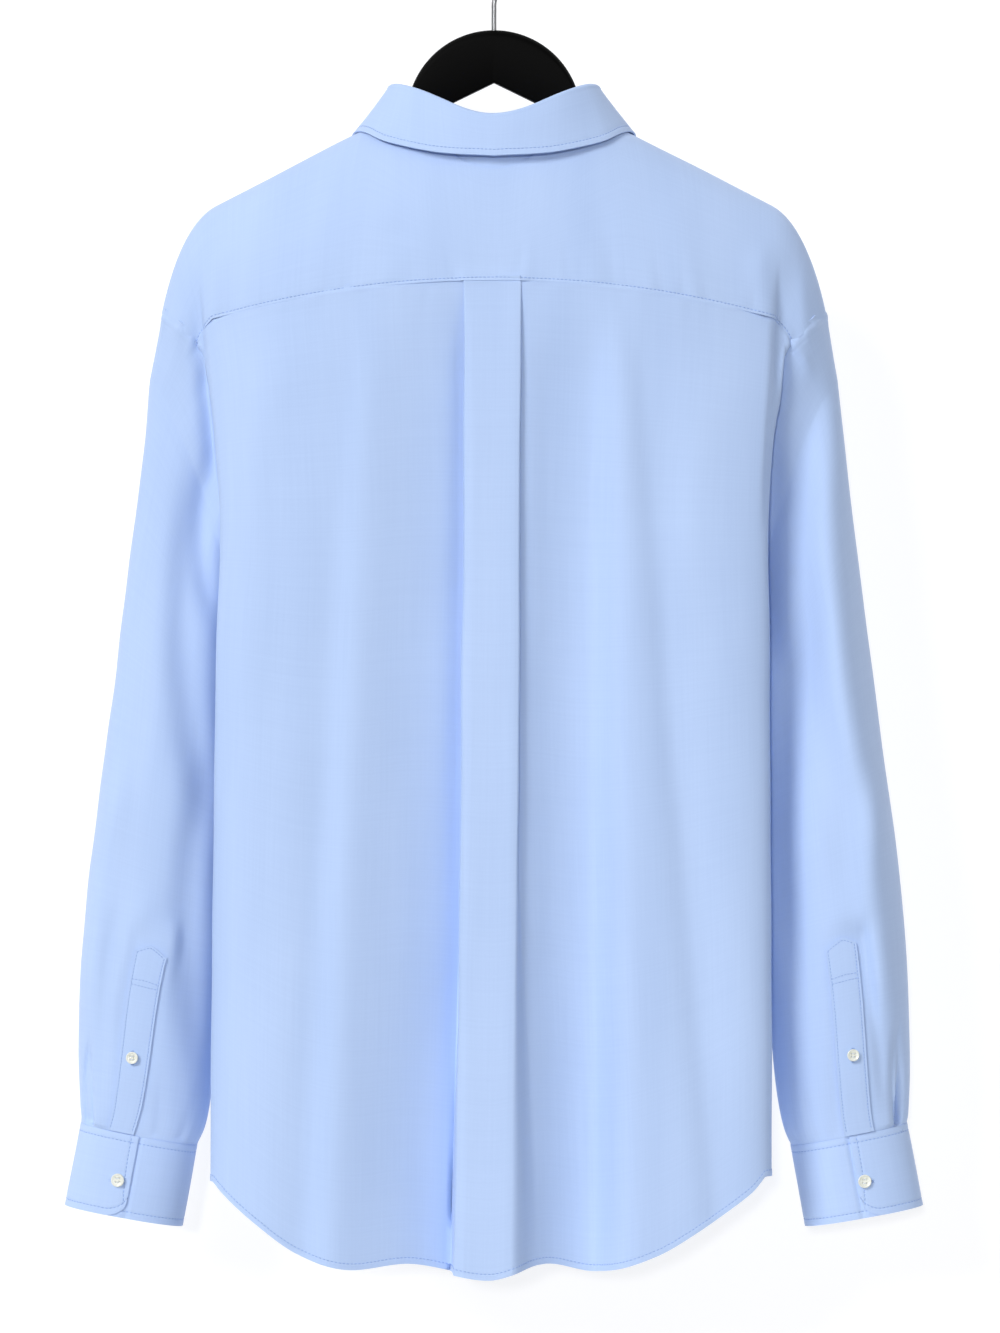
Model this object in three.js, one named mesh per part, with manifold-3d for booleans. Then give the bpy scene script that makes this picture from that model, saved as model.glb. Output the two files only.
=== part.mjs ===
// A long sleeve dress shirt, buttoned up on a hanger, seen from its back.
// Millimetres. +Z is up, the shirt's back faces -Y, its front +Y.
// The origin is where a rail touches the hook's inside.

import * as THREE from "three";
import Module from "manifold-3d";

const wasm = await Module();
wasm.setup();

const { sin, cos, sqrt, asin, hypot, abs, min, max, PI } = Math;

// Cloth
const WALL = 1.2;
const GAP = 0.35;
const LAYER = WALL + GAP;

// Shoulders: the ridge falls from the neck to the end of the hanger, then down to the sleeve
const RIDGE_PEAK = -91.7;
const RIDGE_SLOPE = 0.54;
const RIDGE_ROUND = 45;
const SHOULDER = 200;
const CAP_END = 290;
const CAP_BEND = { x: 225, z: -216 };
const SHOULDER_TIP = { x: 238.5, z: -279.5 };

// Yoke seam across the back, and the level of the chest in front
const YOKE_Z = -259;
const YOKE_ARCH = 26;
const YOKE_END = { x: 212, y: -31, z: -303.5 };
const CHEST_Z = -330;
const FRONT_SEAM_Y = 28;

// Body: depth at the back and the front, and the foot of the armhole
const BACK_Y = -70;
const EDGE_Y = -44;
const FRONT_Y = 75;
const UNDERARM = { x: 172, y: 26, z: -484 };
const CHEST_END = { x: 200, y: 49 };
const SIDE_HEM_Z = -884;

// Neck and collar
const NECK = { x: 72, y: 60, middle: 2 };
const NECK_SEAM_ANGLE = 115 * PI / 180;
const STAND_WALL = 1.4;

// Half widths of the back as it hangs
const WIDTHS = [
  { z: -286, left: 206, right: 201 },
  { z: -332, left: 200, right: 199 },
  { z: -371, left: 197, right: 195 },
  { z: -430, left: 193, right: 192 },
  { z: -514, left: 196, right: 194 },
  { z: -629, left: 199, right: 196 },
  { z: -830, left: 202, right: 198 },
  { z: -980, left: 201, right: 197 },
];

// The back's long folds: place at the yoke and the hem, depth at both (+ is a trough), width
const FOLDS = [
  { top: -90, hem: -114, depthTop: -2, depthHem: -9, width: 18 },
  { top: -112, hem: -143, depthTop: 1, depthHem: 4, width: 15 },
  { top: -66, hem: -60, depthTop: 1, depthHem: 11, width: 20 },
  { top: 48, hem: 36, depthTop: 2, depthHem: 11, width: 16 },
  { top: 72, hem: 76, depthTop: -2, depthHem: -8, width: 15 },
  { top: 97, hem: 152, depthTop: 2, depthHem: 4, width: 16 },
];

// Lower edge of the back: height against place across
const HEM = [
  { x: -202, z: -900 }, { x: -168, z: -929 }, { x: -139, z: -950 }, { x: -104, z: -961 },
  { x: -60, z: -958 }, { x: -4, z: -968 }, { x: 36, z: -958 }, { x: 74, z: -964 },
  { x: 116, z: -952 }, { x: 145, z: -936 }, { x: 186, z: -908 }, { x: 198, z: -896 },
];
const HEM_MIDDLE_Z = -960;
const FRONT_HEM = [
  { x: 0, z: -946 }, { x: 90, z: -940 }, { x: 140, z: -920 }, { x: 168, z: -894 },
  { x: 176, z: -884 },
];

// Box pleat below the yoke: the strip and how each of its sides folds under
const PLEAT = [
  { z: -255, middle: -1, half: 20.2, overlap: 17, depth: 4.2 },
  { z: -400, middle: -1.5, half: 20.4, overlap: 12, depth: 5.5 },
  { z: -640, middle: -3, half: 21, overlap: 5, depth: 9 },
  { z: -980, middle: -7, half: 23, overlap: 0, depth: 15 },
];

// Sleeve rings, from under the armhole to the cuff: outer and inner line, depth
const SLEEVE = [
  { outX: 247, outZ: -334, inX: 186, inZ: -497, y: 25, half: 35, free: 0.65 },
  { outX: 255, outZ: -402, inX: 188, inZ: -516, y: 23, half: 43, free: 0.85 },
  { outX: 266, outZ: -480, inX: 189, inZ: -556, y: 21, half: 50, free: 1 },
  { outX: 276, outZ: -560, inX: 190, inZ: -612, y: 18, half: 53, free: 1 },
  { outX: 285, outZ: -628, inX: 191, inZ: -668, y: 14, half: 53, free: 1 },
  { outX: 293, outZ: -696, inX: 194, inZ: -726, y: 11, half: 49, free: 1 },
  { outX: 297.5, outZ: -758, inX: 199, inZ: -782, y: 9, half: 45, free: 1 },
  { outX: 299, outZ: -812, inX: 203, inZ: -832, y: 7, half: 40, free: 1 },
  { outX: 298.5, outZ: -846, inX: 208, inZ: -862, y: 6, half: 34, free: 1 },
  { outX: 297, outZ: -862, inX: 214.5, inZ: -878, y: 5, half: 30, free: 1 },
];

// Cuff
const CUFF = {
  top: { outX: 297, outZ: -862, inX: 214.5, inZ: -878 },
  foot: { outX: 308.5, outZ: -921, inX: 225, inZ: -936 },
  y: 5, half: 30, wall: 1.6, overlap: 0.62, corner: 11,
};

// Sleeve placket: place across the sleeve and height of its foot and tip
const GAUNTLET = {
  left: { tip: 0.02, foot: -0.25, up: 3.49 },
  right: { tip: -0.043, foot: -0.135, up: 3.57 },
  halfWidth: 8.7,
  point: 6.5,
};

// Buttons: diameters, and heights of those down the front
const BUTTON = { cuff: 9.7, sleeve: 8.8, front: 11, thick: 2.4 };
const FRONT_BUTTONS = [-197, -284, -384, -484, -584, -684, -784];
const BUTTON_SHARE = 0.395;
const PLACKET_HALF = 16;

// Hanger
const HANGER = {
  dome: 63, domeTop: -75, notch: -113, notchSlope: 0.488, end: 199, thin: 6.5, wide: 12,
  clear: 1.9,
};
const WIRE = 1.8;
const HOOK = { radius: 21.8, shank: -98, bore: 2.2 };

const BLUE = new THREE.Color("#b7cff5");
const cloth = () => new THREE.MeshStandardMaterial({ color: BLUE, roughness: 0.9, metalness: 0 });
const shell = () => new THREE.MeshStandardMaterial({ color: "#e6eae0", roughness: 0.3 });

const group = new THREE.Group();
group.name = "dress_shirt_on_hanger";

// Small helpers

const lerp = (a, b, t) => a + (b - a) * t;
const clamp = (t, lo = 0, hi = 1) => min(max(t, lo), hi);
const smooth = (t) => clamp(t) ** 2 * (3 - 2 * clamp(t));
const power = (base, exponent) => max(base, 0) ** exponent;
const steps = (from, to, count) => Array.from({ length: count + 1 }, (_, i) => lerp(from, to, i / count));

// A column of a table at a place given by another column, by a curve without overshoot
function look(rows, key, place, column) {
  const along = rows.map((row) => row[key]);
  const falling = along[0] > along[along.length - 1] ? -1 : 1;
  const s = clamp(place * falling, along[0] * falling, along[along.length - 1] * falling);
  let i = 0;
  while (i < rows.length - 2 && s > along[i + 1] * falling) i += 1;
  const slope = (k) => {
    if (k <= 0 || k >= rows.length - 1) return null;
    return (rows[k + 1][column] - rows[k - 1][column]) / (along[k + 1] - along[k - 1]);
  };
  const span = along[i + 1] - along[i];
  const rise = rows[i + 1][column] - rows[i][column];
  const m0 = (slope(i) ?? rise / span) * span;
  const m1 = (slope(i + 1) ?? rise / span) * span;
  const t = (place - along[i]) / span;
  const u = clamp(t);
  return (2 * u ** 3 - 3 * u ** 2 + 1) * rows[i][column] + (u ** 3 - 2 * u ** 2 + u) * m0
    + (3 * u ** 2 - 2 * u ** 3) * rows[i + 1][column] + (u ** 3 - u ** 2) * m1;
}

// A point at a share of a polyline's length
function atLength(points, share) {
  const lengths = [0];
  for (let i = 1; i < points.length; i += 1) {
    lengths.push(lengths[i - 1] + hypot(points[i].x - points[i - 1].x, points[i].y - points[i - 1].y));
  }
  const target = clamp(share) * lengths[lengths.length - 1];
  let i = 1;
  while (i < points.length - 1 && lengths[i] < target) i += 1;
  const t = (target - lengths[i - 1]) / (lengths[i] - lengths[i - 1] || 1);
  return {
    x: lerp(points[i - 1].x, points[i].x, t),
    y: lerp(points[i - 1].y, points[i].y, t),
  };
}

// Solids

function add(name, geometry, material) {
  const mesh = new THREE.Mesh(geometry, material);
  mesh.name = name;
  group.add(mesh);
  return mesh;
}

// Unit normals of a grid of points, rows downwards and columns anticlockwise from above,
// so that they point out of the garment
function normals(grid, round) {
  const last = grid[0].length - 1;
  return grid.map((row, i) => row.map((_, j) => {
    const right = row[j < last ? j + 1 : round ? 0 : last];
    const left = row[j > 0 ? j - 1 : round ? last : 0];
    const down = grid[min(i + 1, grid.length - 1)][j];
    const up = grid[max(i - 1, 0)][j];
    const across = right.clone().sub(left);
    return down.clone().sub(up).cross(across).normalize();
  }));
}

// The same grid moved along its normals
function movedOut(grid, distance, round = false) {
  const n = normals(grid, round);
  return grid.map((row, i) => row.map((p, j) => p.clone().addScaledVector(n[i][j], distance)));
}

// A cloth wall with the grid in its middle, closed at its edges
function clothWall(name, grid, { wall = WALL, round = false, material = cloth() } = {}) {
  const faces = [movedOut(grid, wall / 2, round), movedOut(grid, -wall / 2, round)];
  const rows = grid.length;
  const columns = grid[0].length;
  const position = faces.flat(2).flatMap((p) => [p.x, p.y, p.z]);
  const at = (face, i, j) => face * rows * columns + i * columns + (j % columns);
  const index = [];
  const quad = (a, b, c, d) => index.push(a, b, c, a, c, d);
  const spans = round ? columns : columns - 1;
  for (let i = 0; i < rows - 1; i += 1) {
    for (let j = 0; j < spans; j += 1) {
      quad(at(0, i, j), at(0, i + 1, j), at(0, i + 1, j + 1), at(0, i, j + 1));
      quad(at(1, i, j), at(1, i, j + 1), at(1, i + 1, j + 1), at(1, i + 1, j));
    }
  }
  for (let j = 0; j < spans; j += 1) {
    quad(at(0, 0, j), at(0, 0, j + 1), at(1, 0, j + 1), at(1, 0, j));
    quad(at(0, rows - 1, j), at(1, rows - 1, j), at(1, rows - 1, j + 1), at(0, rows - 1, j + 1));
  }
  for (let i = 0; i < rows - 1 && !round; i += 1) {
    quad(at(0, i, 0), at(1, i, 0), at(1, i + 1, 0), at(0, i + 1, 0));
    const j = columns - 1;
    quad(at(0, i, j), at(0, i + 1, j), at(1, i + 1, j), at(1, i, j));
  }
  const geometry = new THREE.BufferGeometry();
  geometry.setAttribute("position", new THREE.Float32BufferAttribute(position, 3));
  geometry.setIndex(index);
  return add(name, geometry, material);
}

const point = (x, y, z) => new THREE.Vector3(x, y, z);

// Shoulders
// w runs along the shoulder from the neck: it is x up to SHOULDER, then goes round the
// hanger's end to the sleeve at CAP_END. Its sign is the side.

const capShare = (w) => clamp((abs(w) - SHOULDER) / (CAP_END - SHOULDER));
const ridgeHeight = (x) => RIDGE_PEAK - RIDGE_SLOPE * sqrt(x * x + RIDGE_ROUND ** 2);

function ridge(w) {
  const side = w < 0 ? -1 : 1;
  if (abs(w) <= SHOULDER) return { x: w, z: ridgeHeight(w) };
  const k = capShare(w);
  const start = { x: SHOULDER, z: ridgeHeight(SHOULDER) };
  const bend = (key) => (1 - k) ** 2 * start[key] + 2 * k * (1 - k) * CAP_BEND[key] + k * k * SHOULDER_TIP[key];
  return { x: side * bend("x"), z: bend("z") };
}

function yokeSeam(w) {
  const side = w < 0 ? -1 : 1;
  const x = min(abs(w), SHOULDER);
  const k = capShare(w);
  const corner = { y: EDGE_Y, z: YOKE_Z - YOKE_ARCH };
  return {
    x: side * (x + (YOKE_END.x - SHOULDER) * sin(k * PI / 2)),
    y: k > 0 ? lerp(corner.y, YOKE_END.y, k) : lerp(BACK_Y, EDGE_Y, (x / SHOULDER) ** 3),
    z: k > 0 ? lerp(corner.z, YOKE_END.z, k) : YOKE_Z - YOKE_ARCH * (x / SHOULDER) ** 2,
  };
}

// The front's section at a height below the chest: share 0 is the centre, 1 the side seam
function armholeFront(z) {
  const k = clamp((z - UNDERARM.z) / (CHEST_Z - UNDERARM.z));
  return {
    x: UNDERARM.x + (CHEST_END.x - UNDERARM.x) * k * k,
    y: UNDERARM.y + (CHEST_END.y - UNDERARM.y) * power(sin(k * PI / 2), 0.6),
  };
}

function frontSection(z, share) {
  const side = share < 0 ? -1 : 1;
  const edge = armholeFront(z);
  const drop = clamp((CHEST_Z - z) / 600);
  const middle = FRONT_Y + 5 * drop;
  const outline = steps(0, 1, 40).map((t) => ({
    x: edge.x * power(sin(t * PI / 2), 0.8),
    y: edge.y + (middle - edge.y) * power(cos(t * PI / 2), 0.62),
  }));
  const p = atLength(outline, abs(share));
  return { x: side * p.x, y: p.y };
}

// The shoulders' surface: turn 0 is the ridge, -1 the yoke seam behind, +1 the chest in front
function shoulder(w, turn) {
  const top = ridge(w);
  const angle = turn * PI / 2;
  const foot = turn < 0 ? yokeSeam(w) : { ...frontSection(CHEST_Z, w / CAP_END), z: CHEST_Z };
  return point(
    foot.x + (top.x - foot.x) * cos(angle),
    foot.y * sin(abs(angle)),
    foot.z + (top.z - foot.z) * cos(angle),
  );
}

const turnAt = (w, y) => {
  const reach = y < 0 ? yokeSeam(w).y : frontSection(CHEST_Z, w / CAP_END).y;
  return (y < 0 ? -1 : 1) * asin(clamp(y / reach)) / (PI / 2);
};

// The neck seam at an angle from the back's middle
function neck(angle, inset = 0) {
  const w = (NECK.x - inset) * sin(angle);
  const y = NECK.middle - (NECK.y - inset) * cos(angle);
  return { w, turn: turnAt(w, y) };
}

// Where columns meet a seam: places along the shoulder, shared by the pieces on both sides
const SEAM_NODES = [90, 120, 150, 180, 200, 222, 245, 268, CAP_END];
const YOKE_NODES = [118, 139, 160, 180, 200, 222, 245, 268, CAP_END];
const NECK_COLUMNS = 10;
const YOKE_ROWS = [1, 0.93, 0.84, 0.73, 0.6, 0.46, 0.31, 0.16, 0];

// Yoke: each column runs from the seam behind to the neck or to the seam in front
function yoke() {
  const half = [
    ...steps(0, 1, NECK_COLUMNS).map((t) => ({ from: 98 * t, to: neck(NECK_SEAM_ANGLE * t) })),
    ...SEAM_NODES.map((w, i) => ({ from: YOKE_NODES[i], to: { w, turn: turnAt(w, FRONT_SEAM_Y) } })),
  ];
  const columns = [
    ...half.slice(1).reverse().map(({ from, to }) => ({ from: -from, to: { ...to, w: -to.w } })),
    ...half,
  ];
  const grid = YOKE_ROWS.map((v) => columns.map(({ from, to }) => (
    shoulder(lerp(to.w, from, sqrt(1 - v)), lerp(-1, to.turn, v))
  )));
  clothWall("yoke", grid);
}

// Back

// Rows along the armhole, shared by the back, the fronts and the sleeves
const ARMHOLE_ROWS = 5;

// The armhole's edge of the back at a height, and the side seam below it
function armholeBack(z) {
  const k = clamp((z - UNDERARM.z) / (YOKE_END.z - UNDERARM.z));
  return {
    x: lerp(UNDERARM.x, YOKE_END.x, k ** 3),
    y: lerp(UNDERARM.y, YOKE_END.y, power(sin(k * PI / 2), 0.8)),
  };
}

// The plain section at a height and a place along the shoulder: flat, round at the edge,
// then forward to the side seam
function backSection(z, w) {
  const side = w < 0 ? -1 : 1;
  const width = look(WIDTHS, "z", z, side < 0 ? "left" : "right");
  const edge = armholeBack(z);
  const middle = BACK_Y - 9 * smooth((YOKE_Z - z) / 700);
  const round = steps(0, 1, 30).map((t) => ({
    x: width * power(sin(t * PI / 2), 0.75),
    y: lerp(middle, EDGE_Y, 1 - power(cos(t * PI / 2), 0.7)),
  }));
  const bulge = { x: lerp(width, edge.x, 0.88), y: lerp(EDGE_Y, edge.y, 0.4) };
  const flank = steps(0, 1, 10).slice(1).map((t) => ({
    x: (1 - t) ** 2 * width + 2 * t * (1 - t) * bulge.x + t * t * edge.x,
    y: (1 - t) ** 2 * EDGE_Y + 2 * t * (1 - t) * bulge.y + t * t * edge.y,
  }));
  const outline = [...round, ...flank];
  const length = outline.slice(1).reduce((sum, p, i) => (
    sum + hypot(p.x - outline[i].x, p.y - outline[i].y)), 0);
  const flat = 180;
  const flatLength = flat * width / SHOULDER;
  const l = abs(w) < flat
    ? abs(w) * width / SHOULDER
    : lerp(flatLength, length, (abs(w) - flat) / (CAP_END - flat));
  const p = atLength(outline, l / length);
  return { x: side * p.x, y: p.y };
}

// One side of the box pleat, from the strip outwards: how far out of its fold, how far in
function pleatSide(z) {
  const at = (column) => look(PLEAT, "z", z, column);
  const open = smooth((YOKE_Z - z) / 700);
  const r = min(at("depth") / 4, 1.35);
  const overlap = max(at("overlap"), 2 * r + 1);
  const turns = steps(0, 1, 4).map((t) => t * PI);
  const pressed = [
    [-7, 0],
    ...turns.map((a) => [-r + r * sin(a), r * (1 - cos(a))]),
    [(-r - overlap + r) / 2, 2 * r],
    ...turns.map((a) => [-overlap + r - r * sin(a), r * (3 - cos(a))]),
    [-r / 2, 4 * r],
    [6, 4 * r],
  ];
  const ramp = 9 + 10 * open;
  return pressed.map(([out, deep], i) => {
    const t = (i - 1) / (pressed.length - 3);
    const opened = [
      i === 0 ? -9 : i === pressed.length - 1 ? ramp + 2 : lerp(-4, ramp - 4, t),
      at("depth") * smooth(t),
    ];
    return { out: lerp(out, opened[0], open), deep: lerp(deep, opened[1], open) };
  });
}

// How deep the long folds lie at a place
function foldDepth(x, down) {
  return FOLDS.reduce((sum, f) => {
    const away = (x - lerp(f.top, f.hem, down)) / f.width;
    return sum + lerp(f.depthTop, f.depthHem, down) * smooth(down / 0.1) * Math.exp(-away * away);
  }, 0);
}

function backPanel() {
  const [pleatEnd, flatEnd] = [28, 178];
  const plain = steps(1, 13, 12).map((i) => lerp(pleatEnd, flatEnd, i / 13));
  const outer = [...plain, 180, 190, 200, 211, 222, 245, 268, CAP_END];
  const pleatPoints = pleatSide(YOKE_Z).length;
  const strip = { middle: true };
  const columns = [
    ...outer.slice().reverse().map((w) => ({ w: -w })),
    ...steps(pleatPoints - 1, 0, pleatPoints - 1).map((i) => ({ side: -1, fold: Math.round(i) })),
    strip,
    ...steps(0, pleatPoints - 1, pleatPoints - 1).map((i) => ({ side: 1, fold: Math.round(i) })),
    ...outer.map((w) => ({ w })),
  ];
  const place = ({ w, side, fold }, z) => {
    const middle = look(PLEAT, "z", z, "middle");
    const half = look(PLEAT, "z", z, "half");
    const depth = look(PLEAT, "z", z, "depth");
    if (w !== undefined) {
      const beyond = abs(w) - pleatEnd;
      const lift = depth / 2 * Math.exp(-((beyond / 22) ** 2));
      if (abs(w) >= flatEnd) return { w, lift };
      const last = half + pleatSide(z)[pleatPoints - 1].out + Math.sign(w) * middle;
      return { w: Math.sign(w) * lerp(last, flatEnd, beyond / (flatEnd - pleatEnd)), lift };
    }
    if (side === undefined) return { w: middle, lift: -depth / 2 };
    const s = pleatSide(z)[fold];
    return { w: middle + side * (half + s.out), lift: s.deep - depth / 2 };
  };
  const underarm = (YOKE_END.z - UNDERARM.z) / (YOKE_END.z - SIDE_HEM_Z);
  const rows = [...steps(0, underarm, ARMHOLE_ROWS), ...steps(underarm, 1, 9).slice(1)];
  const grid = rows.map((v) => columns.map((column) => {
    const start = place(column, YOKE_Z);
    const foot = place(column, HEM_MIDDLE_Z).w;
    const seam = yokeSeam(start.w);
    const round = (abs(foot) - 215) / (CAP_END - 215);
    const hemZ = round > 0
      ? lerp(look(HEM, "x", 210 * Math.sign(foot), "z"), SIDE_HEM_Z, round)
      : look(HEM, "x", foot, "z");
    const top = seam.z - GAP;
    const z = lerp(top, hemZ, v);
    const here = place(column, z);
    const p = backSection(z, here.w);
    const above = backSection(top, start.w);
    const fix = (1 - v) ** 3;
    return point(
      p.x + (seam.x - above.x) * fix,
      p.y + (seam.y - above.y) * fix + here.lift + foldDepth(p.x, v),
      z,
    );
  }));
  clothWall("back_panel", grid);
}

// Fronts

const CHEST_ROW = 0.24;
const CHEST_ROWS = 4;
const UNDERARM_ROW = lerp(CHEST_ROW, 1, (CHEST_Z - UNDERARM.z) / (CHEST_Z - SIDE_HEM_Z));
const FRONT_ROWS = [
  ...steps(0, CHEST_ROW, CHEST_ROWS),
  ...steps(CHEST_ROW, UNDERARM_ROW, ARMHOLE_ROWS).slice(1),
  ...steps(UNDERARM_ROW, 1, 8).slice(1),
];

const frontTop = (angle) => neck(angle, 0);

// A column of the front: where it starts at the top, and its place at the chest
function frontColumns(overlap) {
  const ringEnd = NECK_SEAM_ANGLE + 0.012;
  const chestAtRing = 78;
  const ring = steps(0, 1, 6).map((t) => ({
    top: frontTop(lerp(PI, ringEnd, t)), chest: chestAtRing * t,
  }));
  const past = { top: frontTop(PI + asin(overlap / NECK.x)), chest: -overlap * 1.15 };
  const seam = SEAM_NODES.map((w) => ({
    top: { w, turn: turnAt(w, FRONT_SEAM_Y + GAP * 1.3) },
    chest: lerp(chestAtRing, CAP_END, (w - 65) / (CAP_END - 65)),
  }));
  return [past, ...ring, ...seam];
}

function frontPoint(column, v) {
  if (v <= CHEST_ROW) {
    const t = v / CHEST_ROW;
    return shoulder(lerp(column.top.w, column.chest, t), lerp(column.top.turn, 1, t));
  }
  const hem = look(FRONT_HEM, "x", abs(frontSection(-900, column.chest / CAP_END).x), "z");
  const z = lerp(CHEST_Z, hem, (v - CHEST_ROW) / (1 - CHEST_ROW));
  const p = frontSection(z, column.chest / CAP_END);
  const side = smooth((column.chest - 250) / 40);
  return point(p.x, p.y + 1.1 * side, z);
}


// One front, on the photo's left (side -1) or right (side 1)
function frontPanel(name, side, under) {
  const columns = frontColumns(side < 0 ? PLACKET_HALF : PLACKET_HALF - 2);
  const grid = FRONT_ROWS.map((v) => columns.map((column) => {
    const p = frontPoint(column, v);
    return point(side * p.x, p.y, p.z);
  }));
  const ordered = side < 0 ? grid : grid.map((row) => row.slice().reverse());
  const shifted = movedOut(ordered, 0).map((row, i) => row.map((p, j) => {
    const columnIndex = side < 0 ? j : row.length - 1 - j;
    const near = columnIndex <= 3 ? 1 : columnIndex === 4 ? 0.4 : 0;
    return p.clone().addScaledVector(normals(ordered, false)[i][j], -under * near);
  }));
  clothWall(name, shifted);
  return ordered;
}

// The buttonhole band lies on the left front
function frontPlacket() {
  const across = steps(-PLACKET_HALF, PLACKET_HALF, 4);
  const grid = FRONT_ROWS.map((v) => across.map((x) => {
    const t = abs(x) / PLACKET_HALF;
    const column = { top: frontTop(PI - asin(abs(x) / NECK.x)), chest: abs(x) * 1.15 };
    const p = frontPoint(column, v);
    return point((x < 0 ? -1 : 1) * p.x * (t > 0 ? 1 : 0), p.y, p.z);
  }).reverse());
  clothWall("front_placket", movedOut(grid, LAYER));
}

// Sleeves

// Angles on a sleeve run from outside to behind, which is clockwise on the right
const anticlockwise = (grid, side) => (side < 0 ? grid : grid.map((row) => row.slice().reverse()));

// The armhole, from the shoulder tip down the back to the underarm and up the front
function armhole(side) {
  const seamTurn = turnAt(CAP_END, FRONT_SEAM_Y);
  const yokeEdge = YOKE_ROWS.map((v) => shoulder(CAP_END, lerp(-1, seamTurn, v)));
  const tip = 3;
  const behind = [
    ...yokeEdge.slice(tip),
    ...steps(YOKE_END.z, UNDERARM.z, ARMHOLE_ROWS).slice(1).map((z) => {
      const p = armholeBack(z);
      return point(p.x, p.y, z);
    }),
  ];
  const front = [
    ...steps(UNDERARM.z, CHEST_Z, ARMHOLE_ROWS).slice(1).map((z) => {
      const p = armholeFront(z);
      return point(p.x, p.y, z);
    }),
    ...steps(1, seamTurn, CHEST_ROWS).slice(1).map((turn) => shoulder(CAP_END, turn)),
    ...yokeEdge.slice(1, tip),
  ];
  const angles = (points, closing, from) => {
    const lengths = points.map((p, i) => (i === 0 ? 0 : p.distanceTo(points[i - 1])));
    const sums = lengths.map((_, i) => lengths.slice(0, i + 1).reduce((a, b) => a + b, 0));
    const first = closing ? points[0].distanceTo(closing.before) : 0;
    const last = closing ? points[points.length - 1].distanceTo(closing.after) : 0;
    const total = sums[sums.length - 1] + first + last;
    return sums.map((l) => from + PI * (l + first) / total);
  };
  const under = behind[behind.length - 1];
  const all = [
    ...angles(behind, null, 0).map((angle, i) => ({ angle, p: behind[i] })),
    ...angles(front, { before: under, after: behind[0] }, PI).map((angle, i) => ({ angle, p: front[i] })),
  ];
  return all.map(({ angle, p }) => ({ angle, p: point(side * p.x, p.y, p.z) }));
}

// An oval ring between an outer and an inner point; angle 0 is outside, a quarter is behind
function oval(ring, angle, side, grow = 0) {
  const out = { x: ring.outX, z: ring.outZ };
  const inn = { x: ring.inX, z: ring.inZ };
  const c = cos(angle);
  const s = sin(angle);
  const across = Math.sign(c) * power(abs(c), 0.88);
  const deep = Math.sign(s) * power(abs(s), 0.88);
  const half = hypot(out.x - inn.x, out.z - inn.z) / 2;
  const stretch = 1 + grow / half;
  return point(
    side * ((out.x + inn.x) / 2 + across * stretch * (out.x - inn.x) / 2),
    ring.y - deep * (ring.half + grow),
    (out.z + inn.z) / 2 + across * stretch * (out.z - inn.z) / 2,
  );
}

// The sleeve's rings at a place between two rows of the table, and an angle
function sleeveRing(place) {
  const keys = ["outX", "outZ", "inX", "inZ", "y", "half", "free"];
  const rows = SLEEVE.map((row, i) => ({ ...row, i }));
  return Object.fromEntries(keys.map((key) => [key, look(rows, "i", place, key)]));
}

// The pleat at the cuff: a soft groove on the outer side, deeper towards the cuff
function pleatGroove(angle, place) {
  const strength = smooth((place - 6.2) / 2.6);
  const away = (angle - 0.42) / 0.16;
  const beside = (angle - 0.72) / 0.2;
  return strength * (2.2 * Math.exp(-beside * beside) - 3.2 * Math.exp(-away * away));
}

function sleeve(name, side) {
  const edge = armhole(side);
  const places = [0, 0.5, 1, 2, 3, 4, 5, 6, 7, 8, 8.6, 9];
  const ringPoint = (place, { angle, p }) => {
    const ring = sleeveRing(place);
    const round = oval(ring, angle, side, pleatGroove(angle, place));
    const centre = oval(ring, 0, side).add(oval(ring, PI, side)).multiplyScalar(0.5);
    const home = oval({
      outX: SHOULDER_TIP.x, outZ: SHOULDER_TIP.z, inX: UNDERARM.x, inZ: UNDERARM.z, y: 0, half: 0,
    }, 0, side);
    const away = oval({
      outX: SHOULDER_TIP.x, outZ: SHOULDER_TIP.z, inX: UNDERARM.x, inZ: UNDERARM.z, y: 0, half: 0,
    }, PI, side);
    const homeCentre = home.add(away).multiplyScalar(0.5);
    const carried = p.clone().add(centre.sub(homeCentre).setY(0));
    return carried.lerp(round, ring.free);
  };
  const first = edge.map((entry) => {
    const next = ringPoint(0, entry);
    const way = next.sub(entry.p).normalize();
    const lap = smooth((entry.angle - 0.95) / 0.5) * smooth((PI + 0.35 - entry.angle) / 0.5);
    const start = entry.p.clone().addScaledVector(way, 0.9 + 3 * lap);
    start.x += side * 1.1 * lap;
    return start;
  });
  const rest = places.map((place) => edge.map((entry) => ringPoint(place, entry)));
  rest[rest.length - 1].forEach((p) => { p.z += GAP; });
  const grid = [first, ...rest];
  clothWall(name, anticlockwise(grid, side), { round: true });
  return (place, angle, out) => {
    const ring = sleeveRing(place);
    return oval(ring, angle, side, out + pleatGroove(angle, place));
  };
}

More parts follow.
